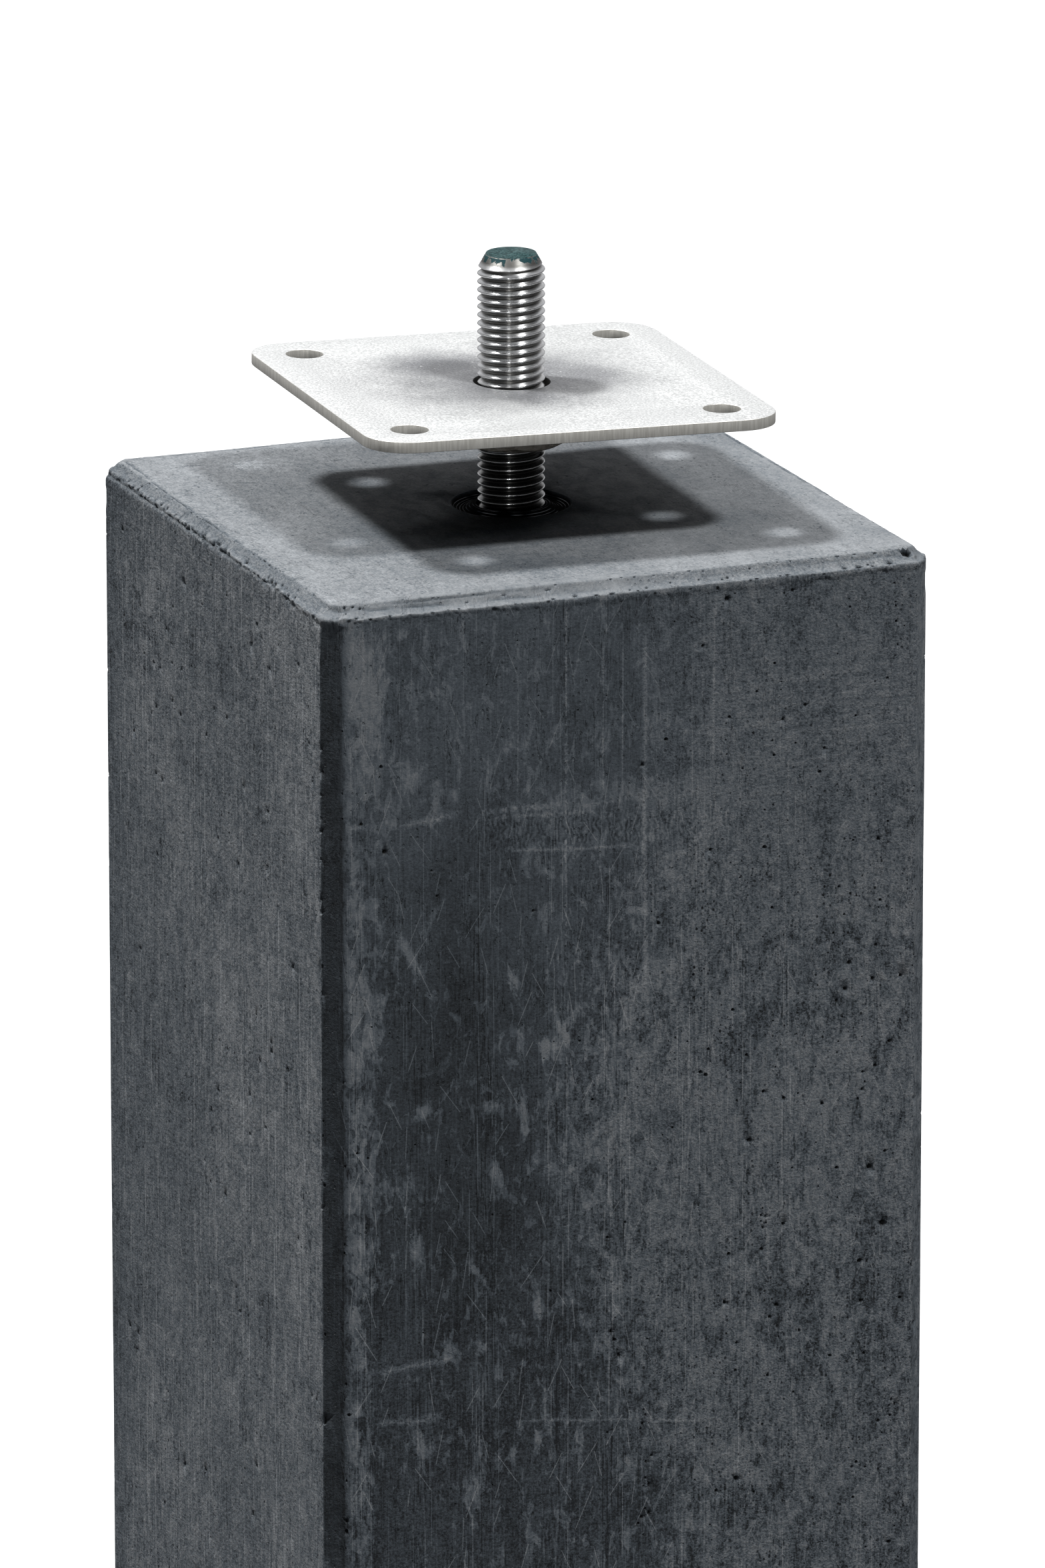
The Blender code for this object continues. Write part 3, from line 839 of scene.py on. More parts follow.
LEFT_PATCHES = [(-44, 14, 10, 3.4, 0, 1.1), (-58, 20, 13, 15, 0, .35), (-62, 48, 8, 30, 0, .3),
    (39, 19.5, 1.8, 2.8, 0, 1.3), (51, 28, 2, .9, 0, 1.0), (43, 28, 2, 2.4, 0, .7),
    (23, 48, 1.5, 1.2, 0, .9), (24, 80, 13, 14, 0, .45), (25, 66, 14, 2, 0, .4),
    (36, 68, 1.6, 1.1, 0, .9), (-19, 138, 1.1, 1.1, 0, .8), (-54, 150, 6, 22, 0, .35),
    (-30, 165, 20, 9, 0, .25), (27, 132, 1.2, 1.2, 0, .8), (24, 109, 2, 1.2, 0, .7),
    (62, 26, 3, 3, 0, .4), (-62, 27, 2, 3, 0, .5), (27, 20, 5, 16, 0, -.5), (46, 10, 6, 8, 0, -.4),
    (48, 86, 14, 14, 0, -.4), (52, 106, 8, 12, 0, -.4), (-25, 16, 7, 8, 0, -.4), (-54, 80, 5, 5, 0, -.5),
    (-36, 112, 7, 8, 0, -.4), (12, 155, 16, 12, 0, -.3), (55, 190, 15, 38, 0, -.35),
    (20, 122, 20, 14, 0, -.3)]

# Pale scratches, drips and drawn lines, and dark ones below nought: points along each
# (place across, drop), half width and strength
FRONT_LINES = [([(-16.2, 3.5), (-16.3, 92)], .32, 1.0), ([(-7.1, 14), (-7.0, 53)], .28, .85),
    ([(-2.2, 12), (-2.3, 50)], .26, .75), ([(-28, 20), (-28.1, 50)], .22, .6),
    ([(3.3, 12), (3.2, 60), (3.6, 104)], .75, .72), ([(20.4, 6), (20.2, 47)], .40, .8),
    ([(20.7, 50), (20.9, 92)], .25, .5), ([(-57, 52.6), (-48, 52.2), (-43.1, 50.8)], .9, .9),
    ([(-37.4, 51.9), (-28.4, 51.5), (-17.8, 51.8)], .6, .95), ([(-15.3, 52.8), (6.8, 51.8)], .35, .55),
    ([(-36.5, 53.4), (-25, 53.6), (-7, 54.5)], .45, .7), ([(-31.6, 61.3), (-14.5, 62.7), (1.9, 63.5)], .5,
    .8), ([(-27.7, 199), (0, 202), (24.1, 205.4)], .4, .8), ([(-64, 195.2), (-47, 196.2)], .9, .8),
    ([(-64, 183.2), (-44, 181.6)], 1.0, .85), ([(-61.3, 125.4), (-53.2, 155.2)], .16, .8),
    ([(-52, 131), (-38, 158)], .14, .6), ([(-36, 122), (-50, 148)], .12, .5),
    ([(-4.8, 120), (-5.2, 150), (-4.2, 180)], .7, .42), ([(6, 72.5), (22, 58.5)], .9, .5),
    ([(22, 62), (26, 98)], .16, .45), ([(32, 90), (35, 112)], .5, .4), ([(18, 176), (42, 150)], .4, .25),
    ([(-66, 100), (-67, 118)], .3, .5), ([(-43, 104), (-46, 112), (-54, 113)], .5, .4),
    ([(22, 29), (58, 27)], .8, .30), ([(30, 34.5), (66, 33)], .7, .32),
    ([(18, 38.5), (46, 36.8)], .6, .36), ([(44, 41.5), (70, 40.5)], .7, .28),
    ([(16, 44.6), (40, 44)], .5, .30), ([(50, 23.5), (71, 22.4)], .6, .26),
    ([(-60, 132), (-52, 160)], .12, .5), ([(-62, 128), (-55, 170)], .12, .5),
    ([(-35, 168), (-20, 150)], .12, .5), ([(-30, 176), (-8, 152)], .12, .45),
    ([(-40, 200), (-22, 184)], .12, .4)]
LEFT_LINES = [([(46.2, 171), (45.8, 176.5)], .9, 1.0), ([(62.2, 175.8), (61.8, 180)], 1.0, .9),
    ([(29.5, 4), (29, 60)], .3, .35), ([(-52, 104), (-55, 118), (-58.2, 129)], .45, -.75),
    ([(-58.2, 129), (-60.3, 140), (-63, 150)], .40, 1.0), ([(-59.6, 131), (-61.9, 141), (-64.4, 151)],
    .35, -.7), ([(-63, 150), (-66, 160), (-69, 172)], .30, -.6), ([(-46, 20), (-48, 42)], .35, -.35),
    ([(-17, 64), (-16.6, 76)], .35, -.5), ([(-38, 55), (-37.6, 80)], .3, -.4),
    ([(6.5, 80), (6, 90)], .4, -.4), ([(-38.6, 158), (-38, 192)], .3, -.45),
    ([(-3, 188), (-1.5, 208)], .35, -.35), ([(-26, 122), (-28, 134)], .35, -.5),
    ([(-13.5, 14), (-14.2, 23)], .5, -.5), ([(-36, 104), (-34, 122)], .3, -.35),
    ([(-12, 186), (-20, 192), (-30, 190)], .14, .5), ([(20, 168), (10, 200)], .14, .3)]


def along_path(points, path):
    """How far each flat point lies from a path, and how far it is from the path's ends."""
    nearest = np.full(len(points), 1e9)
    to_end = np.zeros(len(points))
    path = [np.array(spot, float) for spot in path]
    lengths = [np.linalg.norm(last - first) for first, last in zip(path, path[1:])]
    whole, walked = sum(lengths), 0.0
    for first, last, reach in zip(path, path[1:], lengths):
        share = held((points - first) @ (last - first) / reach ** 2)
        away = np.linalg.norm(points - first - share[:, None] * (last - first), axis=1)
        travelled = walked + share * reach
        closer = away < nearest
        nearest = np.where(closer, away, nearest)
        to_end = np.where(closer, np.minimum(travelled, whole - travelled), to_end)
        walked += reach
    return nearest, to_end


def wall_pores(block, luck):
    """Air holes as (s, t, radius across, radius up, depth), none touching another."""
    wanted = []
    for holes, place, steep in ((LEFT_RIM_HOLES, block.left_rim, 1.6),
            (FRONT_RIM_HOLES, block.front_rim, 1.2)):
        wanted += [(*place(along, up), across, tall, steep * min(across, tall))
            for along, up, across, tall in holes]
    wanted += [(*block.front(x, drop), radius * 1.25, radius * 1.2, radius * 1.5)
        for x, drop, radius in FRONT_PORES]
    wanted += [(*block.left(y, drop), radius * 1.9, radius * 1.7, radius * 1.7)
        for y, drop, radius in LEFT_PORES]
    for x, drop in PORE_STRINGS:
        for _ in range(9):
            radius = 0.22 + 0.22 * luck.random()
            spot = block.front(x + 0.5 * luck.normal(), drop + 3.2 * luck.normal())
            wanted.append((*spot, radius, radius * (1 + luck.random()), radius * 1.6))
    wanted += random_pores(block, luck)
    kept = []
    for pore in wanted:
        beside_seam = min(pore[0], block.around - pore[0]) <= SEAM_CLEARANCE
        if not beside_seam and all(pores_apart(pore, other) for other in kept):
            kept.append(pore)
    return kept


def pores_apart(first, second):
    """Whether two pores leave a little wall between them, sideways or upward."""
    return any(abs(first[k] - second[k]) > 1.25 * (first[k + 2] + second[k + 2]) + 0.1 for k in (0, 1))


def random_pores(block, luck):
    """Pores over every face, most of them on the right of the front, with rows of them
    along the upright edges and both sides of the rim."""
    found = []
    low = block.slope + 4
    shown = block.top_edge - SEEN_DEPTH
    for face, upper, lower in ((0, 60, 50), (1, 90, 50), (2, 230, 60), (3, 70, 50)):
        start = block.knots[2 * face] + 3
        reach = block.flat - 6
        for count, first, last in ((upper, shown, block.top_edge - 3), (lower, low, shown)):
            for _ in range(count):
                share = luck.random() if face != 2 or luck.random() < 0.3 else 1 - 0.45 * luck.random()
                radius = 0.20 + 0.30 * luck.random() ** 3
                tall = radius * (1.0 + (0.2 if face == 2 else 0.9) * luck.random())
                found.append((start + reach * share, first + (last - first) * luck.random(),
                    radius * (1.7 if face == 1 else 1.0), tall, radius * 1.5))
        for _ in range(30):
            radius = (0.32 if face == 1 else 0.2) + 0.3 * luck.random() ** 2
            up = (0.9 if face == 1 else 0.0) + 0.6 * luck.normal()
            found.append((start + reach * luck.random(), block.top_edge + up, radius * 1.7, radius,
                radius * 1.2))
        for _ in range(26):
            radius = 0.14 + 0.14 * luck.random() ** 2
            found.append((start + reach * luck.random(), block.top_ridge - 0.1 + 0.25 * luck.normal(),
                radius * 2.2, radius, radius))
    for corner in range(1, 9):
        for _ in range(40):
            radius = 0.18 + (0.55 if corner == 3 else 0.32) * luck.random() ** 2
            found.append((block.knots[corner] + 0.25 * luck.normal(),
                low + (block.top_edge - 8 - low) * luck.random(), radius, radius * (1 + luck.random()),
                radius * 1.2))
    return found


def pore_depth(points, pores):
    """How deep, and how far inside a pore from 0 to 1, each flat point lies."""
    depth = np.zeros(len(points))
    inside = np.zeros(len(points))
    order = np.argsort(points[:, 1])
    heights = points[order, 1]
    for s, t, across, up, deep in pores:
        first, last = np.searchsorted(heights, (t - up * 1.4, t + up * 1.4))
        near = order[first:last]
        away = ((points[near, 0] - s) / across) ** 2 + ((points[near, 1] - t) / up) ** 2
        bowl = held(1 - away)
        depth[near] = np.maximum(depth[near], deep * bowl ** 0.5)
        inside[near] = np.maximum(inside[near], held(bowl * 3.5))
    return depth, inside


def line_paths(block, luck):
    """Every line on the walls as (path in s and t, half width, strength)."""
    found = [([place(*spot) for spot in path], width, strength)
        for place, lines in ((block.front, FRONT_LINES), (block.left, LEFT_LINES))
        for path, width, strength in lines]
    for face in range(4):
        start = block.knots[2 * face] + 6
        end = start + block.flat - 12
        for _ in range(24):
            s = start + (end - start) * luck.random()
            t = 20 + (block.height - 60) * luck.random()
            tilt = luck.normal() * (0.05 if luck.random() < 0.6 else 0.8)
            reach = 6 + 34 * luck.random() ** 2
            last = (min(max(s + math.sin(tilt) * reach, start), end),
                min(t + math.cos(tilt) * reach, block.top_edge - 6))
            found.append(([(s, t), last], 0.11 + 0.12 * luck.random() ** 2, 0.25 + 0.35 * luck.random()))
    return found


def line_strength(points, lines):
    """How pale, and how dark, the lines make each flat point."""
    pale = np.zeros(len(points))
    dark = np.zeros(len(points))
    for path, width, strength in lines:
        away, to_end = along_path(points, path)
        body = held(1.15 - away / width)
        mark = body * held(to_end / 5 + 0.2) * abs(strength)
        if strength > 0:
            pale = np.maximum(pale, mark)
        else:
            dark = np.maximum(dark, mark)
    return pale, dark


def line_guides(path, width):
    """Points down the middle and both sides of a line."""
    found = []
    for first, last in zip(path, path[1:]):
        first, last = np.array(first), np.array(last)
        line = last - first
        reach = np.linalg.norm(line)
        side = np.array((-line[1], line[0])) / reach * width * 1.15
        middle = first + np.linspace(0, 1, max(3, int(reach / 2.2)))[:, None] * line
        found += [middle, middle + side, middle - side]
    return np.concatenate(found)


def far_from(points, spots, reach):
    """True for each point further than reach from every spot, reach being a number
    for each spot."""
    keep = np.ones(len(points), bool)
    order = np.argsort(points[:, 1])
    heights = points[order, 1]
    for (s, t), clear in zip(spots, reach):
        first, last = np.searchsorted(heights, (t - clear, t + clear))
        near = order[first:last]
        keep[near] &= (points[near, 0] - s) ** 2 + (points[near, 1] - t) ** 2 > clear ** 2
    return keep


def off_lines(points, lines):
    """True for each point that is outside every line's own width."""
    keep = np.ones(len(points), bool)
    for path, width, _ in lines:
        keep &= along_path(points, path)[0] > width * 1.3 + 0.12
    return keep


def crossed(across, up):
    """A flat point wherever one of the values across meets one of those upward."""
    return np.array(np.meshgrid(across, up)).reshape(2, -1).T


def wall_grid(block):
    """Flat points over walls and rims, closest together along edges and the top rim."""
    near_edge = np.array([-3.6, -2.2, -1.2, -0.6, -0.25, 0.0, 0.25, 0.6, 1.2, 2.2, 2.83, 3.6])
    edges = np.concatenate([near_edge + knot for knot in block.knots[1:-1]]
        + [near_edge[near_edge >= 0], near_edge[near_edge <= 0] + block.around])
    edges = np.unique(np.round(edges, 3))
    faces = [(block.knots[k] + 4.6, block.knots[k + 1] - 4.6) for k in range(0, 8, 2)]
    close = (block.knots[2] - 3, block.knots[5] + 3)
    low = block.slope
    split = block.top_edge - SEEN_DEPTH + 1
    lower_rows = spaced(low + 8, split - 3, 6.0)
    upper_rows = spaced(split, block.top_edge - 9, 2.4)
    half_rows = spaced(split, block.top_edge - 9, 5.0)
    grids = [crossed(edges, np.concatenate([lower_rows, half_rows]))]
    grids += [crossed(spaced(*face, 6.0), lower_rows) for face in faces]
    grids += [crossed(spaced(*faces[k], 2.4), upper_rows) for k in (1, 2)]
    grids += [crossed(spaced(*faces[k], 5.0), half_rows) for k in (0, 3)]
    middle = spaced(0.0, block.around, 1.3)
    upper = block.top_edge - np.array([6.8, 5.0, 3.8])
    grids.append(crossed(middle, upper))
    rim = block.top_edge + np.array([-2.9, -2.2, -1.65, -1.2, -.85, -.55, -.25, 0, .25, .5, .8, 1.15, 1.5,
        1.9, 2.3, 2.7, 3.1, 3.45, 3.8, 4.1, 4.4, 4.75, 5.1, 5.5, 5.9, 6.35])
    fine = spaced(*close, 0.5)
    rest = np.concatenate([spaced(0, close[0] - .8, .95), spaced(close[1] + .8, block.around, .95)])
    grids += [crossed(fine, rim), crossed(rest, rim)]
    base = np.array([-1.0, -.5, 0.0, .4, 1.0, 2.1, 3.2, 3.8, low, low + .4, low + 1.0, low + 2.2,
        low + 4.4])
    grids.append(crossed(middle, base))
    inner = np.concatenate(grids)
    inner = inner[(inner[:, 0] > 0.05) & (inner[:, 0] < block.around - 0.05)]
    sides = np.unique(np.round(np.concatenate([lower_rows, half_rows, upper, rim, base]), 4))
    seam = np.concatenate([columns(np.full(len(sides), s), sides) for s in (0.0, block.around)])
    around = spaced(0.0, block.around, 0.62)
    top_ring = columns(around, np.full(len(around), block.top))
    foot_ring = columns(middle, np.full(len(middle), block.bottom))
    return inner, np.concatenate([seam, top_ring, foot_ring]), top_ring, foot_ring


# The front and left of the top rim, place by place: how far up its slope the ragged
# outer lip lies, how far up the groove along its inner side lies, how deep that groove
# is and how hollow the slope is, in millimetres
RIM_PLACES = [("left", 64, 1.20, 6.0, 0.42, 0.12), ("left", 50, 1.10, 5.3, 0.45, 0.12),
    ("left", 40, 0.95, 4.9, 0.45, 0.12), ("left", 20, 0.90, 4.7, 0.55, 0.14),
    ("left", 0, 1.20, 4.55, 0.45, 0.18), ("left", -20, 0.60, 4.25, 0.34, 0.16),
    ("left", -40, 0.30, 3.8, 0.10, 0.10), ("left", -60, -0.60, 3.6, 0.05, 0.14),
    ("front", -62, 0.00, 2.3, 0.30, 0.50), ("front", -45, -0.20, 2.0, 0.28, 0.58),
    ("front", -25, -0.75, 1.7, 0.22, 0.60), ("front", -5, -0.90, 1.5, 0.08, 0.50),
    ("front", 15, -1.05, 2.2, 0.08, 0.48), ("front", 35, -1.30, 2.6, 0.10, 0.44),
    ("front", 55, -0.95, 2.7, 0.24, 0.44), ("front", 68, -0.60, 2.4, 0.22, 0.46)]


def rim_course(block, s, column):
    """One column of the rim's table at each place round the outline, with the right
    and back sides in keeping."""
    places = [(block.left(along, 0) if side == "left" else block.front(along, 0))[0]
        for side, along, *_ in RIM_PLACES]
    values = [row[column] for row in RIM_PLACES]
    middle = float(np.mean(values))
    knots = block.knots
    places = [0.0, knots[1]] + places + [knots[5] + 4, knots[6] - 20, knots[7] - 40, block.around]
    values = [middle, values[0]] + values + [values[-1], middle, values[4 - column], middle]
    return np.interp(s, places, values)


def rim_relief(block, s, t, points):
    """Hollow top rim with a ragged bright lip, a broken groove along its inner side
    and a lumpy overhang on the front corner: height, paleness and darkness.  The paleness
    is the lip's chips with a painted highlight along it; the darkness is painted shade in
    the grooves and the dents below the lip."""
    ring = columns(points[:, 0], points[:, 1], np.zeros(len(s)))
    up = t - block.top_edge
    full = block.slope
    line = rim_course(block, s, 2) + field(ring, 5.0, 11) * 0.30 + field(ring, 1.5, 12) * 0.25
    share = held((up - line) / (full - line))
    deep = rim_course(block, s, 5) * (1 + 0.5 * field(ring, 16.0, 19) + 0.3 * field(ring, 4.0, 20))
    height = -deep * 3.3 * share * (1 - share) * held(up + 1)
    away = up - line
    chips = held(field(ring, 2.3, 13) + 0.15) + 0.5 * held(field(points, 0.8, 14))
    lip = hump(away, 0, 0.55)
    height += lip * (0.10 + 0.42 * chips)
    height -= np.clip(line, 0, 2) * 0.42 * hump(up, 0, 0.7)
    below = np.clip(-line, 0, 2)
    height += below * 0.50 * hump(up, -0.5 * below, 0.55 + 0.5 * below)
    height += hump(away, 0, 1.1) * 0.22 * field(points, 0.85, 15)
    height += hump(up, 2.4, 2.2) * (0.10 * field(ring, 1.6, 10) + 0.08 * field(points, 0.8, 42))
    wander = 0.30 * field(ring, 3.5, 16) + 0.15 * field(ring, 1.2, 8)
    groove = hump(up, rim_course(block, s, 3) - wander, 0.30)
    broken = held(field(ring, 4.5, 17) * 1.5 + 0.75)
    cut = rim_course(block, s, 4)
    second = hump(up, 3.55 - 0.25 * field(ring, 6.0, 26), 0.20)
    second *= held(1.3 - np.abs(s - block.front(-42, 0)[0]) / 16)
    height -= groove * broken * cut + second * 0.16
    corner = (block.knots[3] + block.knots[4]) / 2 + 0.8
    near = hump(s, corner, 4.6, 4)
    height += near * hump(up, -0.3, 1.3, 4) * (0.80 + 0.65 * field(points, 1.7, 18))
    height -= near * hump(up, 2.8, 1.2) * (0.45 + 0.45 * field(points, 1.2, 9))
    right = hump(s, block.front(72.0, 0)[0], 1.5)
    height += right * hump(up, 2.0, 0.8) * 0.5
    on_front = (s > block.knots[4]) & (s < block.knots[5])
    on_left = (s > block.knots[2]) & (s < block.knots[3])
    bites = held(field(ring, 1.7, 51) + 0.6 * field(points, 0.8, 52) - 0.10) * (0.55 + 0.95 * on_left)
    bites *= hump(away, -0.7, 0.85)
    height -= 1.5 * bites
    # The lip's paleness: chips, with a painted highlight along the lip
    pale = held(lip * (0.30 + 0.75 * chips)) * (0.48 + 0.14 * on_front)
    # The darkness: painted shade in the groove, the second groove and the dents below the lip
    return height, pale, np.clip(groove * broken * cut * 1.9 + second * 0.5 + 1.1 * bites, 0, 0.9)


def patch_amount(spots, patches):
    """Sum of all soft patches at each point, given in a face's own millimetres."""
    total = np.zeros(len(spots))
    for across, drop, wide, tall, lean, amount in patches:
        x = spots[:, 0] - across + lean * (spots[:, 1] - drop)
        away = (x / wide) ** 2 + ((spots[:, 1] - drop) / tall) ** 2
        total += amount * (1.5 if wide <= 3.0 else 1.0) * np.exp(-away ** 1.5 * 0.8)
    return total


# Tone of the walls at each bend of the outline, from the back's left end round to it
WALL_TONES = [.078, .078, .060, .060, .086, .095, .029, .032, .067, .071, .062, .078, .078, .060]

# Where the front's worn right part begins at each drop, and how mottled that part is
WORN_EDGE = ([0, 40, 62, 72, 112, 122, 175, 230, 420, 600], [14, 12, 10, 0, -3, -12, -8, 14, 10, 5])
WORN_MOTTLE = ([0, 30, 65, 75, 112, 125, 155, 170, 230], [.45, .35, .6, .85, .85, .5, .5, .75, .75])

# How far the front's left part is darkened at each drop, and how far its left strip is
FRONT_MURK = ([25, 45, 100, 150, 185], [0.0, 0.16, 0.38, 0.34, 0.10])
FRONT_BUSIER = ([40, 95, 150], [0.3, 1.0, 1.25])


def skin_values(block, s, t, points):
    """Three sets of skin values: tone, wear and mottle; how rippled, banded and dry the
    skin is; and how strong its contrast, grain and hairlines are."""
    x, y = points[:, 0], points[:, 1]
    drop = block.height - points[:, 2]
    knots = block.knots
    front, left, chamfer = [((s > low) & (s < high)).astype(float)
        for low, high in ((knots[4] - 0.6, knots[5] + 0.5), (knots[2] - 0.5, knots[3]),
        (knots[3], knots[4]))]
    cloud = field(points, 36.0, 21, (1.0, 1.0, 0.45))
    bends = [knots[0], knots[1], knots[1] + 1, knots[2] - 1, knots[2], knots[3] - .3, knots[3] + .3,
        knots[4], knots[4] + 2, knots[5], knots[5] + 1, knots[6], knots[7], knots[8]]
    tone = np.interp(s, bends, WALL_TONES) * (1 + 0.10 * cloud)
    tone *= (1 - front * (np.interp(drop, *FRONT_MURK) * hump(x, -43, 19)
        + 0.14 * hump(x, -5, 20) * hump(drop, 30, 30)))
    tone *= 1 - front * np.interp(drop, [120, 180], [0.04, 0.12])
    tone *= (1 + left * (0.42 * hump(y, -60, 11) * hump(drop, 0, 8) - 0.30 * hump(y, 73, 12)
        - 0.09 * hump(y, 5, 32)))
    tone *= 1 + 1.4 * chamfer * hump(drop, 3, 3.6)

    ragged = 8 * field(points, 16.0, 24, (1, 1, .45)) + 8 * field(points, 5.5, 41, (1, 1, .35))
    right = held((x - np.interp(drop, *WORN_EDGE) + ragged) / 26.0 + 0.5)
    strip = held((-60.0 - x + 6.0 * field(points, 9.0, 28, (1, 1, .3))
        + 4.0 * field(points, 3.0, 61, (1, 1, .18))) / 9.0)
    front_film = -0.80 + 1.02 * right + 1.0 * strip + patch_amount(columns(x, drop), FRONT_PATCHES)
    front_film -= 1.6 * right * held(field(points, 7.0, 60, (1, 1, .16)) - 0.14)
    left_film = -0.35 + 0.5 * cloud + patch_amount(columns(y, drop), LEFT_PATCHES)
    left_mottle = np.clip(0.35 + 0.8 * field(points, 18.0, 29), 0.1, 1)
    film = 0.1 + 0.9 * field(points, 55.0, 22, (1.0, 1.0, 0.5))
    film = np.select([chamfer > 0, left > 0, front > 0], [-0.8, left_film, front_film], film)
    mottle = held(0.3 + 0.8 * field(points, 60.0, 27, (1.0, 1.0, 0.5)))
    mottle = np.select([left > 0, front > 0], [left_mottle, right * np.interp(drop, *WORN_MOTTLE)],
        mottle)

    ripple = held(0.5 + 0.9 * field(points, 30.0, 23, (1.0, 1.0, 0.6))) * (1 - front)
    ripple *= np.where(left > 0, np.clip(1.2 - np.abs(y + 5) / 62.0, 0.15, 1), 0.6)
    ripple -= front * hump(x, 44, 30, 4) * hump(drop, 35, 15, 4)
    band = front * hump(drop, 58.3 + (x + 8) * 0.055, 4.2, 4) * hump(x, -6.0, 36.0, 4)

    busier = np.interp(drop, *FRONT_BUSIER)
    bunches = held(field(points * np.array((1, 1, 0)), 7.0, 37) * 1.6 + 0.35)
    contrast = 0.28 - 0.08 * left + front * (0.24 * busier - 0.19 * right)
    grain = 1.2 + front * (1.15 * right - 0.30 + 0.45 * held((drop - 140) / 50))
    grain += left * (0.55 + 0.6 * np.exp(-drop / 50))
    hairs = (0.35 + front * (0.66 * bunches * busier - 0.10 - 0.08 * right)
        + left * (0.25 + 0.45 * bunches))

    rim, top, fade = [held((t - edge) / 0.9) for edge in (block.top_edge - 0.9, block.top_edge - 0.6,
        block.top_ridge - 0.3)]
    tone = tone * (1 - rim) + rim * (0.081 + 0.015 * front + 0.010 * cloud)
    # The top's tone carries painted shade and painted light from the plate
    tone = tone * (1 - fade) + fade * top_tone_with_painted_light(points)
    return (columns(tone, film * (1 - rim), mottle * (1 - 0.7 * rim)),
        columns(ripple * (1 - rim), band, top), columns(contrast * (1 - 0.8 * rim),
        grain * (1 - 0.2 * rim), hairs * (1 - 0.6 * rim)))


# Paler spots of the top, the first three painted light where the lamps shine through the plate's holes:
# x, y, reach in millimetres and gain
TOP_PAINTED_LIGHT_SPOTS = [(-43, 59, 13, .25), (52, 30, 12, .12), (48, -50, 13, .08), (-56, -60, 12, .12)]


def top_tone_with_painted_light(points):
    """The top's tone: paler toward the rim and darker inward round the dish as painted shade of the plate
    above, with two soft patches of painted shadow in front of the rod and painted light spots.
    """
    flat = points * np.array((1, 1, 0))
    x, y = points[:, 0], points[:, 1]
    # Darker inward toward the dish: painted shade of the plate above
    reach = np.maximum(np.abs(x), np.abs(y)) + 5 * field(flat, 22.0, 34)
    level = np.interp(reach, [0, 13, 17, 23, 33, 50, 62, 75], [.011, .026, .055, .080, .096, .109, .117,
        .114])
    front = np.interp(x, [-70, -62, -45, -25, -15, -5, 15, 35, 55, 70],
        [1.0, .97, .90, .78, .72, .74, 1.04, .91, .97, .93])
    inner_strip = held((-42 - y) / 10) * (1 - 0.65 * held((-56 - y) / 7))
    level = level * (1 + (front - 1) * inner_strip)
    level *= 1 - 0.20 * held((x - 55) / 10) * held((y - 15) / 15)
    # Two soft patches of painted shadow of the plate, in front of the rod
    level *= 1 - 0.62 * hump(x, -19, 19) * hump(y, -16, 14)
    level *= 1 - 0.55 * hump(x, -12, 24) * hump(y, -19, 12)
    # Paler spots, the first three painted light shining through the plate's holes
    for across, along, wide, gain in TOP_PAINTED_LIGHT_SPOTS:
        level *= 1 + gain * hump(x, across, wide) * hump(y, along, wide)
    level = level * (1 - 0.16 * held((y - 50) / 12) * held((x + 20) / 40))
    return level * (1 + 0.10 * field(flat, 11.0, 35, (0.5, 1.0, 1.0)) + 0.06 * field(flat, 3.5, 38))


def fleck_points(block, grid):
    """Closer points over each small patch, and which grid points lie outside them all."""
    outside = np.ones(len(grid), bool)
    found = []
    for place, patches in ((block.front, FRONT_PATCHES), (block.left, LEFT_PATCHES)):
        for across, drop, wide, tall, lean, _ in patches:
            if wide > 3.0:
                continue
            high = tall * 1.25
            broad = wide * 1.5
            gap = max(0.5, wide * 0.55)
            spots = crossed(spaced(-broad, broad, gap), spaced(-high, high, gap * 1.8))
            spots[:, 0] -= lean * spots[:, 1]
            corner = np.array(place(across, drop))
            found.append(np.array([place(across + x, drop + y) for x, y in spots]))
            near = grid - corner
            slant = -lean * near[:, 1]
            outside &= (np.abs(near[:, 0] + slant) > broad + gap / 2) | (np.abs(near[:, 1]) > high + gap)
    return np.concatenate(found), outside


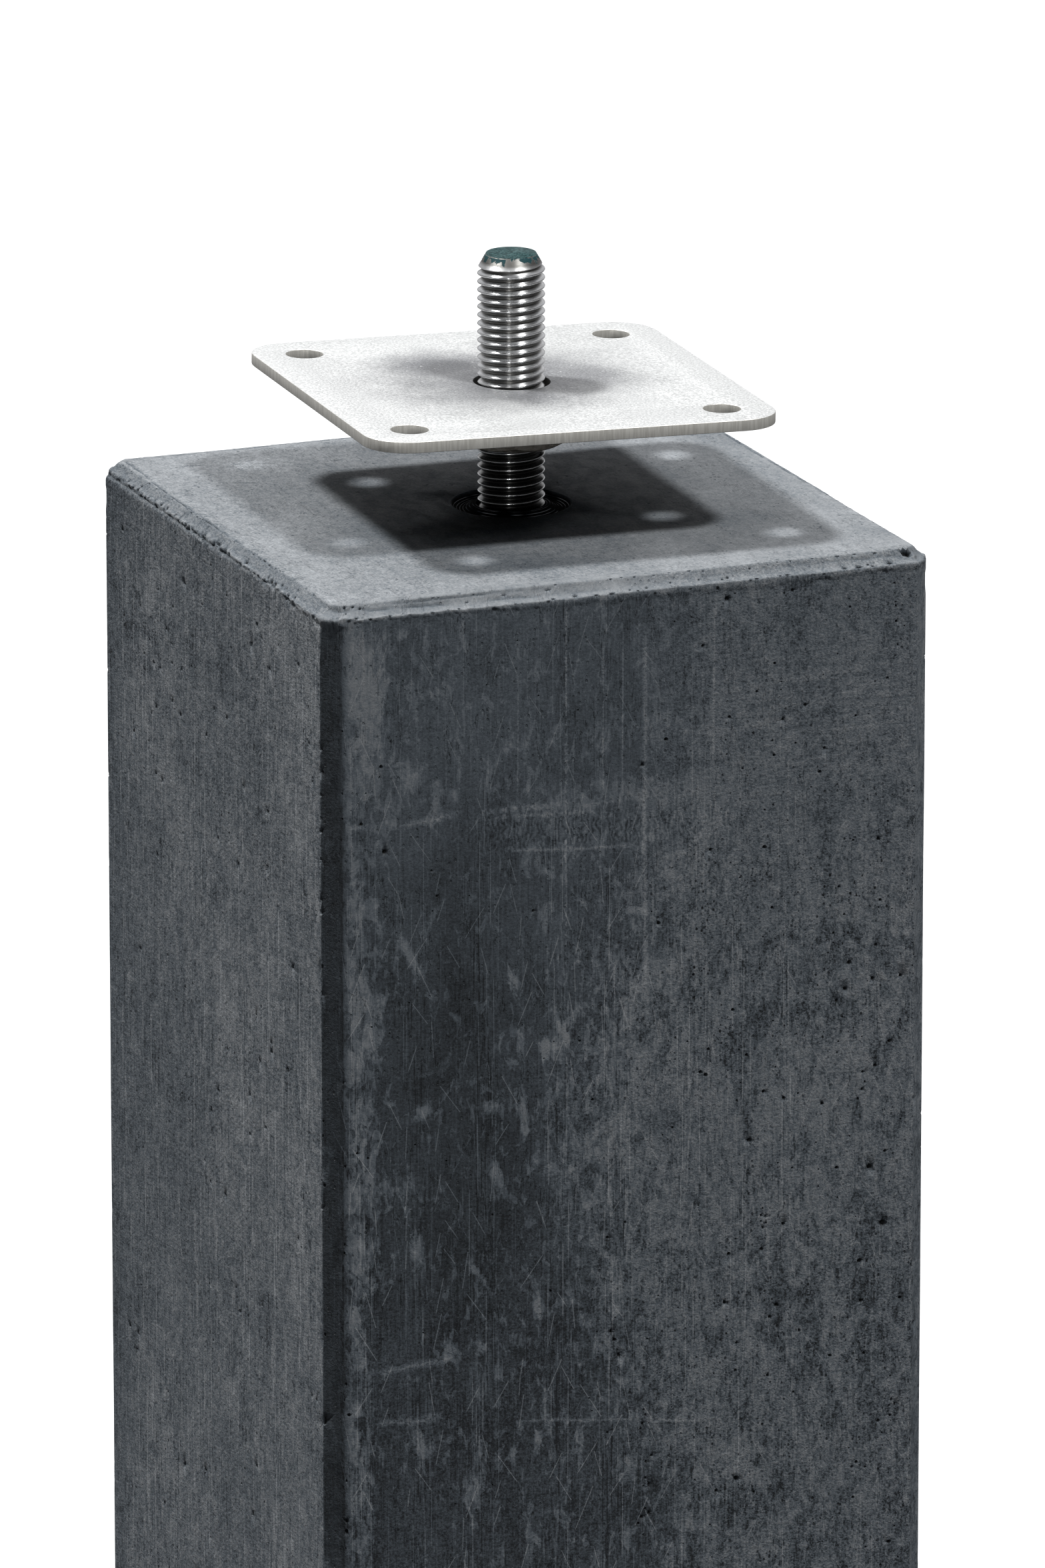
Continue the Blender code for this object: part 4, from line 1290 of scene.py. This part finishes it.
def wall_mesh(block, luck):
    """Walls and rims as (points, triangles, pattern places, four sets of values), and the
    rings of points along their upper and lower edges."""
    pores = wall_pores(block, luck)
    lines = line_paths(block, luck)
    inner, border, top_ring, foot_ring = wall_grid(block)
    guides = np.concatenate([line_guides(*line[:2]) for line in lines])
    guides = clear_of_pores(guides, pores, 1.3)
    flecks, outside = fleck_points(block, inner)
    inner = np.concatenate([inner[outside], flecks])
    inner = clear_of_pores(inner[off_lines(inner, lines)], pores, 1.22)
    flat = np.concatenate([border, inner, guides, pore_dots(pores, (0.92, 1.12), 0.39)])
    flat = flat[np.unique(np.round(flat, 3), axis=0, return_index=True)[1]]
    flat, faces = triangles_between(flat)
    s, t = flat[:, 0], flat[:, 1]
    base = block.place(s, t)
    normal = block.outward(s, t)
    depth, inside = pore_depth(flat, pores)
    scuff, gouge = line_strength(flat, lines)
    lip, pale, groove = rim_relief(block, s, t, base)
    skin, work, wear = skin_values(block, s, t, base)
    swell = 0.08 * field(base, 28.0, 1, (1.0, 1.0, 0.5)) + 0.035 * field(base, 7.0, 2, (1.0, 1.0, 0.3))
    edge = held((block.top - t) / 0.6) * held((t - block.bottom) / 0.6)
    shrink = CAST_SHRINK / MM * held(1 + normal[:, 2] * (normal[:, 2] < 0))
    raised = (swell + lip - depth + 0.05 * scuff - 0.22 * gouge) * edge - shrink
    placed = base + normal * raised[:, None]
    # marks: scuffs and the lip's paleness (partly painted highlight); painted shade in pores, the rim's
    # groove and dents, with dark lines; no dish
    marks = columns(held(scuff + pale), held(np.maximum(inside, np.maximum(0.7 * gouge, groove))),
        np.zeros(len(s)))
    rings = [block.place(ring[:, 0], ring[:, 1]) for ring in (top_ring, foot_ring)]
    return (placed, faces, pattern_places(block, flat), (skin, marks, work, wear)), rings


def dish_drop(radius):
    """How far the dish lies below the block's top at each distance from the rod."""
    outer, floor = DISH_RADIUS / MM, DISH_FLOOR_RADIUS / MM
    wall, deep = DISH_WALL / MM, DISH_DEPTH / MM
    bowl = held((outer - radius) / (outer - floor))
    drop = wall * (1 - 0.9 * bowl) + (deep - wall) * np.sin(bowl * math.pi)
    return np.where(radius < outer - 0.02, drop, 0.0)


# Dents and the thin crack in the block's top: points along each, half width and depth
TOP_CRACKS = [([(-62, 61), (-55.3, 59.3), (-40, 55.5), (-26, 52.4), (-12, 51.5)], .35, .16),
    ([(-54.5, 41.6), (-49.5, 40.2)], .5, .3), ([(-68.6, 34.6), (-65.4, 34.2)], .45, .3),
    ([(-70.6, 5.2), (-68.2, 4.6)], .5, .35), ([(52, -40), (60, -36)], .2, .1),
    ([(57, -52), (63, -30)], .25, .12), ([(36, 12), (47, 6)], .2, .08)]


def top_pores(luck, reach):
    """Small pores of the block's top as (x, y, radius across, radius along, depth)."""
    pores = []
    for _ in range(110):
        spot = (luck.random(2) - 0.5) * 2 * reach
        radius = 0.12 + 0.22 * luck.random() ** 3
        clear = all(math.dist(spot, other[:2]) > 2.0 for other in pores)
        if np.linalg.norm(spot) > DISH_RADIUS / MM + 3 and clear:
            pores.append((*spot, radius * 1.5, radius, radius))
    return pores


def crack_depth(flat, base):
    """How deep the top's cracks and dents are at each of its points."""
    found = np.zeros(len(flat))
    for path, width, deep in TOP_CRACKS:
        away, to_end = along_path(flat, path)
        found = np.maximum(found, held(1.1 - away / width) * held(to_end + 0.3)
            * np.clip(0.6 + 2 * field(base, 2.5, 36), 0.1, 1) * deep)
    return found


def top_mesh(block, ring, luck):
    """The block's top inside its rim: trowelled, with the dish for the rod."""
    inset = block.half - block.rim - block.lap
    inner = inset - 0.9
    grid = crossed(spaced(-inset, inset, 2.0), spaced(-inset, inset, 2.0))
    keep = (np.abs(grid) < inner).all(axis=1) & (np.abs(grid).sum(axis=1) < 2 * inner - 3.0)
    keep &= np.linalg.norm(grid, axis=1) > DISH_RADIUS / MM + 1.5
    bore = BORE_RADIUS / MM
    outer = DISH_RADIUS / MM
    rings = [ring_points((0, 0), radius, count) for radius, count in ((bore, 72), (9.2, 72), (9.9, 72),
        (10.7, 72), (11.6, 80), (12.5, 88), (13.3, 96), (outer - 0.25, 110), (outer, 110),
        (outer + 0.3, 110), (outer + 0.9, 90))]
    pores = top_pores(luck, inner - 4)
    cracks = [(path, width, -1.0) for path, width, _ in TOP_CRACKS]
    grid = grid[keep]
    grid = clear_of_pores(grid[off_lines(grid, cracks)], pores, 1.3)
    guides = np.concatenate([line_guides(path, width) for path, width, _ in TOP_CRACKS])
    guides = clear_of_pores(guides, pores, 1.3)
    guides = guides[(np.abs(guides) < inset - 0.2).all(axis=1)]
    dots = pore_dots(pores, (0.95, 1.15), 0.4)
    flat, faces = triangles_between(np.concatenate([ring[:, :2], grid, guides, *rings, dots]))
    faces = without_slivers(flat, faces, ring)
    radius = np.linalg.norm(flat, axis=1)
    hole = radius < bore + 0.02
    faces = [face for face in faces if not all(hole[corner] for corner in face)]
    base = np.column_stack([flat, np.zeros(len(flat))])
    depth, inside = pore_depth(flat, pores)
    gouge = crack_depth(flat, base)
    edge = held((inset - np.abs(flat).max(axis=1)) / 1.2)
    edge *= held((inset * 2 - 2.34 - np.abs(flat).sum(axis=1)) / 1.5)
    lies = 0.06 * field(base, 13.0, 31) + 0.03 * field(base, 4.0, 32, (0.5, 1.0, 1.0))
    lies *= held((radius - outer) / 2)
    lip = 0.16 * hump(radius, outer + 0.3, 0.35) * held(0.5 + field(base, 5.0, 33) * 1.5)
    level = block.height - CAST_SHRINK / MM + (lies + lip - depth - gouge) * edge - dish_drop(radius)
    points = np.column_stack([flat, level])
    full = np.ones(len(flat))
    skin = columns(top_tone_with_painted_light(points), full * 0, full * 0.2)
    wear = columns(full * 0.05, 1.35 - 0.25 * np.clip(flat[:, 0] / 40, -1, 1), full * 0.15)
    in_dish = held((outer + 0.1 - radius) / 0.25)
    # A pale ring just outside the dish: painted highlight along its rim
    painted_rim_glint = 0.55 * hump(radius, outer + 0.25, 0.30) * held(0.35 + 1.6 * field(base, 6.0, 39))
    # marks: painted highlight on the dish rim; painted shade in pores, with the dark cracks; the dish
    marks = columns(painted_rim_glint, np.maximum(inside, np.clip(gouge * 4, 0, .8)), in_dish)
    work = columns(full * 0, full * 0, full)
    return points, faces, (flat + (900, 0)) * MM, (skin, marks, work, wear)


def foot_mesh(block, ring):
    """The block's flat underside inside its rim."""
    inset = block.half - block.rim - block.lap
    grid = crossed(spaced(-inset, inset, 9), spaced(-inset, inset, 9))
    keep = (np.abs(grid) < inset - 2).all(axis=1) & (np.abs(grid).sum(axis=1) < 2 * inset - 6)
    flat, faces = triangles_between(np.concatenate([ring[:, :2], grid[keep]]))
    faces = without_slivers(flat, faces, ring)
    full = np.ones(len(flat))
    skin = columns(full * .07, full * 0, full * 0.5)
    work = columns(full * 0, full * 0, full * 0.5)
    return (np.column_stack([flat, full * 0]), [face[::-1] for face in faces], (flat + (900, 300)) * MM,
        (skin, np.zeros((len(flat), 3)), work, work + 0.2))


def pattern_places(block, flat):
    """Where the patterns lie on the walls, drawn wider across the left side."""
    lengths = np.diff(block.knots) * np.array([1, 1, SIDE_SQUEEZE, 1, 1, 1, 1, 1])
    knots = np.concatenate([[0.0], np.cumsum(lengths)])
    return columns(np.interp(flat[:, 0], block.knots, knots), flat[:, 1]) * MM


def joined_parts(parts):
    """Several meshes of points, triangles, pattern places and sets of values as one."""
    points, faces, places, values = [], [], [], []
    for part_points, part_faces, part_places, part_values in parts:
        first = sum(len(group) for group in points)
        points.append(part_points)
        faces += [tuple(corner + first for corner in face) for face in part_faces]
        places.append(part_places)
        values.append(part_values)
    values = [np.concatenate(kind) for kind in zip(*values)]
    return np.concatenate(points), faces, np.concatenate(places), values


def concrete_block(finish):
    """The cast block with its pores, scratches, ragged rim, dish and bore."""
    luck = np.random.default_rng(17)
    block = CastBlock()
    wall, (top_ring, foot_ring) = wall_mesh(block, luck)
    parts = [wall, top_mesh(block, top_ring, luck), foot_mesh(block, foot_ring)]
    points, faces, places, values = joined_parts(parts)
    points[:, :2] = np.clip(points[:, :2], -block.half, block.half)
    points[:, 2] = np.clip(points[:, 2], 0, block.height)
    mesh = bpy.data.meshes.new("concrete_block_cast")
    mesh.from_pydata((points * MM).tolist(), [], faces)
    for name, vectors in zip(("skin", "marks", "work", "wear"), values):
        layer = mesh.attributes.new(name, 'FLOAT_VECTOR', 'POINT')
        layer.data.foreach_set("vector", vectors.astype(np.float32).ravel())
    corners = np.zeros(len(mesh.loops), int)
    mesh.loops.foreach_get("vertex_index", corners)
    unrolled = mesh.uv_layers.new(name="unrolled")
    unrolled.data.foreach_set("uv", places[corners].astype(np.float32).ravel())
    bm = bmesh.new()
    bm.from_mesh(mesh)
    bmesh.ops.remove_doubles(bm, verts=bm.verts, dist=0.004 * MM)
    sink_bore(bm)
    bmesh.ops.recalc_face_normals(bm, faces=bm.faces)
    for face in bm.faces:
        face.smooth = True
    bm.to_mesh(mesh)
    bm.free()
    mesh.set_sharp_from_angle(angle=math.radians(62))
    return object_from("concrete_block_cast", mesh, finish)


def sink_bore(bm):
    """Carries the round hole in the dish down to a flat foot."""
    rim = [edge for edge in bm.edges if edge.is_boundary
        and math.hypot(*edge.verts[0].co.xy) < BORE_RADIUS + 0.1 * MM
        and edge.verts[0].co.z > BLOCK_HEIGHT / 2]
    sunk = bmesh.ops.extrude_edge_only(bm, edges=rim)["geom"]
    lower = [thing for thing in sunk if isinstance(thing, bmesh.types.BMVert)]
    for corner in lower:
        corner.co.z = BORE_FOOT
    bottom = [thing for thing in sunk if isinstance(thing, bmesh.types.BMEdge)
        and all(abs(corner.co.z - BORE_FOOT) < MM / 10 for corner in thing.verts)]
    bmesh.ops.holes_fill(bm, edges=bottom, sides=0)


def geometry_tree(name, sizes):
    """A Geometry Nodes tree with named sizes and a finish: (tree, graph, inputs, output)."""
    tree = bpy.data.node_groups.new(name, "GeometryNodeTree")
    tree.interface.new_socket("Geometry", in_out="OUTPUT", socket_type="NodeSocketGeometry")
    for label, value in sizes.items():
        kind = "NodeSocketInt" if isinstance(value, int) else "NodeSocketFloat"
        tree.interface.new_socket(label, in_out="INPUT", socket_type=kind).default_value = value
    tree.interface.new_socket("Finish", in_out="INPUT", socket_type="NodeSocketMaterial")
    graph = Graph(tree)
    return tree, graph, graph.values(graph.add("NodeGroupInput")), graph.add("NodeGroupOutput").inputs[0]


def combined(graph, first, second, how):
    """Two closed solids as one, by the exact solver."""
    whole = graph.add("GeometryNodeMeshBoolean", {"Mesh 2": first}, operation=how, solver='EXACT')
    graph.wire(second, whole.inputs["Mesh 2"])
    return whole.outputs["Mesh"]


def upright_bar(graph, sides, radius, foot, length):
    bar = graph.shape("MeshCylinder", {"Vertices": sides, "Radius": radius, "Depth": length})
    middle = foot + length * 0.5
    return graph.shape("Transform", {"Geometry": bar, "Translation": graph.joined(0.0, 0.0, middle)})


def dressed(graph, shape, finish):
    """The shape with its copies made real and its finish on."""
    return graph.shape("SetMaterial", {"Geometry": graph.shape("RealizeInstances", {0: shape}),
        "Material": finish})


def grown(name, tree, values):
    """The mesh that a Geometry Nodes tree makes from the given sizes."""
    holder = placed_object(name, bpy.data.meshes.new(name + "_empty"))
    modifier = holder.modifiers.new(name, 'NODES')
    modifier.node_group = tree
    named = {item.name: item.identifier for item in tree.interface.items_tree
        if item.item_type == 'SOCKET' and item.in_out == 'INPUT'}
    for label, value in values.items():
        modifier[named[label]] = value
    return finished_mesh(holder, name)


def thread_tree():
    """A true helical thread: a sheet of rows that climb one pitch in a turn, rolled
    round the axis, capped, and trimmed by a bar with a tapered end."""
    tree, graph, given, made = geometry_tree("threaded_bar", {"Radius": ROD_RADIUS, "Pitch": THREAD_PITCH,
        "Depth": THREAD_DEPTH, "Top": ROD_TOP, "Thread Foot": THREAD_FOOT, "Foot": ROD_FOOT,
        "End Radius": ROD_END_RADIUS, "End Taper": ROD_END_TAPER, "Columns": 72, "Rows Per Turn": 14})
    pitch, top, foot = given["Pitch"], given["Top"], given["Thread Foot"]
    turns = graph.math("CEIL", (top - foot) / pitch) + 4.0
    sheet = graph.shape("MeshGrid", {"Size X": 1.0, "Size Y": 1.0, "Vertices X": given["Columns"] + 1.0,
        "Vertices Y": turns * given["Rows Per Turn"] + 1.0})
    flat = graph.split(graph.add("GeometryNodeInputPosition").outputs[0])
    share = flat[0] + 0.5
    climb = (flat[1] + 0.5) * turns
    phase = graph.math("FRACT", climb + 1e-05)
    ridge = abs(phase * 2.0 - 1.0)
    fall = graph.math("MULTIPLY", ridge - CREST_SHARE, 1.0 / FLANK_SHARE, clamp=True)
    radius = given["Radius"] - fall * given["Depth"]
    turn = share * math.tau
    start = foot - pitch * 2.0
    rise = start + (climb + share) * pitch
    rolled = graph.shape("SetPosition", {"Geometry": sheet, "Position": graph.joined(
        radius * graph.math("COSINE", turn), radius * graph.math("SINE", turn), rise)})
    seamed = graph.shape("MergeByDistance", {"Geometry": rolled, "Distance": SEAM_GAP})
    rim = graph.add("GeometryNodeInputMeshEdgeNeighbors").outputs["Face Count"]
    lonely = graph.add("FunctionNodeCompare", {2: rim, 3: 1}, data_type='INT', operation='EQUAL')
    capped = graph.add("GeometryNodeExtrudeMesh", {"Mesh": seamed, "Selection": lonely.outputs[0],
        "Offset Scale": 0.0}, mode='EDGES')
    height = graph.split(graph.add("GeometryNodeInputPosition").outputs[0])[2]
    upper = graph.math("GREATER_THAN", height, (top + foot) * 0.5)
    low_end = start + pitch * 0.5
    high_end = start + (turns + 0.5) * pitch
    apex = upper * high_end + (1.0 - upper) * low_end
    drawn = graph.shape("SetPosition", {"Geometry": capped.outputs["Mesh"],
        "Selection": capped.outputs["Top"], "Position": graph.joined(0.0, 0.0, apex)})
    screw = graph.shape("MergeByDistance", {"Geometry": drawn, "Distance": SEAM_GAP})
    trimmed = combined(graph, screw, bar_envelope(graph, given), 'INTERSECT')
    length = foot + 0.4 * MM - given["Foot"]
    shank = upright_bar(graph, 72, given["Radius"], given["Foot"], length)
    whole = graph.shape("SetShadeSmooth", {"Geometry": combined(graph, trimmed, shank, 'UNION')})
    graph.wire(dressed(graph, whole, given["Finish"]), made)
    return tree


def bar_envelope(graph, given):
    """A bar a little wider than the thread, with the rod's tapered end."""
    top, foot, taper = given["Top"], given["Thread Foot"], given["End Taper"]
    slope = (given["Radius"] - given["End Radius"]) / taper
    depth = taper * 1.4
    cone = graph.shape("MeshCone", {"Vertices": 96, "Radius Top": given["End Radius"], "Depth": depth,
        "Radius Bottom": given["End Radius"] + slope * taper * 1.4})
    raised = graph.shape("Transform", {"Geometry": cone, "Translation": graph.joined(0.0, 0.0,
        top - depth)})
    length = top - taper * 1.35 - foot
    bar = upright_bar(graph, 96, given["Radius"] + 0.2 * MM, foot, length)
    return combined(graph, raised, bar, 'UNION')


def threaded_rod(finish):
    mesh = grown("threaded_rod_cut", thread_tree(), {"Finish": finish})
    mesh.set_sharp_from_angle(angle=math.radians(76))
    return object_from("threaded_rod_cut", mesh, finish)


def plate_tree():
    """A flat plate with rounded corners, a centre hole and a square of screw holes."""
    tree, graph, given, made = geometry_tree("drilled_plate",
        {"Width": PLATE_WIDTH, "Corner Radius": PLATE_CORNER_RADIUS, "Thickness": PLATE_THICKNESS,
        "Centre Hole": CENTRE_HOLE_RADIUS, "Screw Hole": SCREW_HOLE_RADIUS,
        "Hole Spacing": SCREW_HOLE_SPACING})
    width, spacing = given["Width"], given["Hole Spacing"]
    outline = graph.shape("CurvePrimitiveQuadrilateral", {"Width": width, "Height": width})
    rounded = graph.shape("FilletCurve", {"Curve": outline, "Radius": given["Corner Radius"],
        "Count": 10}, mode='POLY')
    centre = graph.shape("CurvePrimitiveCircle", {"Resolution": 64, "Radius": given["Centre Hole"]})
    places = graph.shape("MeshGrid", {"Size X": spacing, "Size Y": spacing, "Vertices X": 2,
        "Vertices Y": 2})
    drill = graph.shape("CurvePrimitiveCircle", {"Resolution": 40, "Radius": given["Screw Hole"]})
    holes = graph.shape("InstanceOnPoints", {"Points": places, "Instance": drill})
    lines = graph.add("GeometryNodeJoinGeometry")
    for part in (rounded, centre, graph.shape("RealizeInstances", {0: holes})):
        graph.wire(part, lines.inputs[0])
    sheet = graph.shape("FillCurve", {0: lines.outputs[0]}, mode='NGONS')
    raised = graph.shape("ExtrudeMesh", {"Mesh": sheet, "Offset": graph.joined(0.0, 0.0,
        given["Thickness"]), "Offset Scale": 1.0, "Individual": False})
    both = graph.add("GeometryNodeJoinGeometry")
    graph.wire(raised, both.inputs[0])
    graph.wire(graph.shape("FlipFaces", {0: sheet}), both.inputs[0])
    closed = graph.shape("MergeByDistance", {"Geometry": both.outputs[0], "Distance": 0.01 * MM})
    graph.wire(dressed(graph, closed, given["Finish"]), made)
    return tree


def plate_frame():
    """Where the plate and nut stand: at the nut's middle, with the small lean and turn."""
    return (Matrix.Translation((0, 0, NUT_CENTRE)) @ Matrix.Rotation(PLATE_LEAN_TOWARDS_X, 4, 'Y')
        @ Matrix.Rotation(PLATE_TURN, 4, 'Z'))


def eased(mesh, name, width, segments, angle):
    """The mesh with its edges rounded off."""
    holder = placed_object(name, mesh)
    round_over = holder.modifiers.new("Eased edges", 'BEVEL')
    round_over.width = width
    round_over.segments = segments
    round_over.limit_method = 'ANGLE'
    round_over.angle_limit = angle
    round_over.harden_normals = False
    return finished_mesh(holder, name)


def top_plate(finish):
    mesh = grown("top_plate_satin", plate_tree(), {"Finish": finish})
    mesh.transform(Matrix.Translation((0, 0, NUT_HEIGHT / 2 + WELD_GAP)))
    mesh.transform(plate_frame())
    mesh = eased(mesh, "top_plate_satin", 0.00018, 2, math.radians(40))
    mesh.shade_smooth()
    mesh.set_sharp_from_angle(angle=math.radians(50))
    return object_from("top_plate_satin", mesh, finish)


def lathe_mesh(name, profile, sides):
    """A closed solid of revolution from (radius, height) points that run from the axis
    to the axis."""
    bm = bmesh.new()
    rings = []
    for radius, height in profile:
        if radius == 0:
            rings.append([bm.verts.new((0, 0, height))])
        else:
            rings.append([bm.verts.new((radius * math.cos(math.tau * k / sides),
                radius * math.sin(math.tau * k / sides), height)) for k in range(sides)])
    for upper, lower in zip(rings, rings[1:]):
        for k in range(sides):
            corners = [upper[k % len(upper)], lower[k % len(lower)], lower[(k + 1) % len(lower)],
                upper[(k + 1) % len(upper)]]
            bm.faces.new(list(dict.fromkeys(corners)))
    bmesh.ops.recalc_face_normals(bm, faces=bm.faces)
    mesh = bpy.data.meshes.new(name)
    bm.to_mesh(mesh)
    bm.free()
    return mesh


def cut_with(target, cutter_mesh, operation):
    cutter = placed_object("cutter", cutter_mesh)
    boolean = target.modifiers.new(operation, 'BOOLEAN')
    boolean.operation = operation
    boolean.solver = 'EXACT'
    boolean.object = cutter
    return cutter


def welded_nut(finish):
    """Hexagon nut with both ends' corners turned off and a chamfered bore."""
    half = NUT_HEIGHT / 2
    corner = NUT_ACROSS_FLATS / math.sqrt(3)
    reach = corner + MM
    drop = (reach - NUT_FACE_RADIUS) * math.tan(NUT_CHAMFER_SLOPE)
    hexagon = lathe_mesh("hexagon", [(0, half), (corner, half), (corner, -half), (0, -half)], 6)
    hexagon.transform(Matrix.Rotation(NUT_TURN + math.pi / 2, 4, 'Z'))
    nut = placed_object("welded_nut_dull", hexagon)
    envelope = lathe_mesh("envelope", [(0, half), (NUT_FACE_RADIUS, half), (reach, half - drop),
        (reach, drop - half), (NUT_FACE_RADIUS, -half), (0, -half)], 96)
    flare = NUT_BORE_RADIUS + 0.7 * MM
    bore = lathe_mesh("bore", [(0, half + MM), (flare + MM, half + MM),
        (NUT_BORE_RADIUS, half - 0.7 * MM), (NUT_BORE_RADIUS, 0.7 * MM - half), (flare + MM, -half - MM),
        (0, -half - MM)], 64)
    cutters = [cut_with(nut, envelope, 'INTERSECT'), cut_with(nut, bore, 'DIFFERENCE')]
    mesh = finished_mesh(nut, "welded_nut_dull")
    for cutter in cutters:
        bpy.data.objects.remove(cutter)
    mesh.transform(plate_frame())
    mesh = eased(mesh, "welded_nut_dull", 0.00012, 2, math.radians(25))
    mesh.shade_smooth()
    mesh.set_sharp_from_angle(angle=math.radians(40))
    return object_from("welded_nut_dull", mesh, finish)


def floor(finish):
    bm = bmesh.new()
    bmesh.ops.create_grid(bm, x_segments=1, y_segments=1, size=60.0)
    mesh = bpy.data.meshes.new("floor")
    bm.to_mesh(mesh)
    bm.free()
    made = object_from("floor", mesh, finish)
    return made


def camera():
    """Long lens from the front left, a little above."""
    ahead = Vector((math.sin(VIEW_TURN) * math.cos(VIEW_DROP), math.cos(VIEW_TURN) * math.cos(VIEW_DROP),
        -math.sin(VIEW_DROP)))
    right = Vector((math.cos(VIEW_TURN), -math.sin(VIEW_TURN), 0.0))
    up = right.cross(ahead)
    aim = right * AIM_SIDEWAYS + Vector((0, 0, AIM_HEIGHT))
    data = bpy.data.cameras.new("camera")
    data.lens = LENS
    data.sensor_width = 36.0
    data.clip_end = 300.0
    made = placed_object("camera", data)
    turned = Matrix((right, up, -ahead)).transposed()
    made.matrix_world = Matrix.Translation(aim - ahead * VIEW_DISTANCE) @ turned.to_4x4()
    bpy.context.scene.camera = made


def lamp(name, towards, strength, spread):
    """A far lamp seen from the object in one direction, as wide as spread in degrees."""
    data = bpy.data.lights.new(name, 'SUN')
    data.energy = strength
    data.angle = math.radians(spread)
    made = placed_object(name, data)
    made.rotation_mode = 'QUATERNION'
    made.rotation_quaternion = Vector(towards).to_track_quat('Z', 'Y')
    made.location = Vector(towards).normalized() * 3


def studio():
    """Two soft lamps overhead, two faint ones by the camera, a pale glow along the
    horizon and a broad one high behind."""
    lamp("lamp_right_front", (0.258, -0.474, 0.841), 4.75, 8.0)
    lamp("lamp_left_back", (-0.381, 0.297, 0.875), 6.4, 8.0)
    lamp("lamp_left_of_camera", (-0.500, -0.832, 0.242), 0.50, 6.0)
    lamp("lamp_right_of_camera", (-0.251, -0.937, 0.242), 0.06, 8.0)
    world = bpy.data.worlds.new("studio")
    bpy.context.scene.world = world
    world.use_nodes = True
    graph = Graph(world.node_tree)
    look = graph.split(graph.add("ShaderNodeTexCoord").outputs["Generated"])
    back = look[0] * 0.37 + look[1] * 0.93
    low = graph.step(look[2], 0.50, 0.05)
    high = back * 0.6 + look[2] * 0.8
    glow = 0.03 + low * graph.step(back, 0.0, 0.7, 0.18, 0.38) + graph.step(high, 0.45, 0.95, 0.0, 0.75)
    shade = world.node_tree.nodes["Background"]
    graph.wire(graph.joined(glow, glow, glow * 1.02), shade.inputs["Color"])
    bpy.context.scene.view_settings.view_transform = 'Standard'


def main():
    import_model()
    pieces = [(concrete_block(cast_concrete()), "concrete_block", "footing", "concrete"),
        (threaded_rod(thread_steel()), "threaded_rod", "footing", "rod_steel"),
        (top_plate(plate_steel()), "top_plate", "plate", "plate_steel"),
        (welded_nut(nut_steel()), "welded_nut", "plate", "nut_steel"),]
    for piece, node, body, slot in pieces:
        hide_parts(node)
        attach(piece, body)
    floor(floor_finish())
    camera()
    studio()


main()
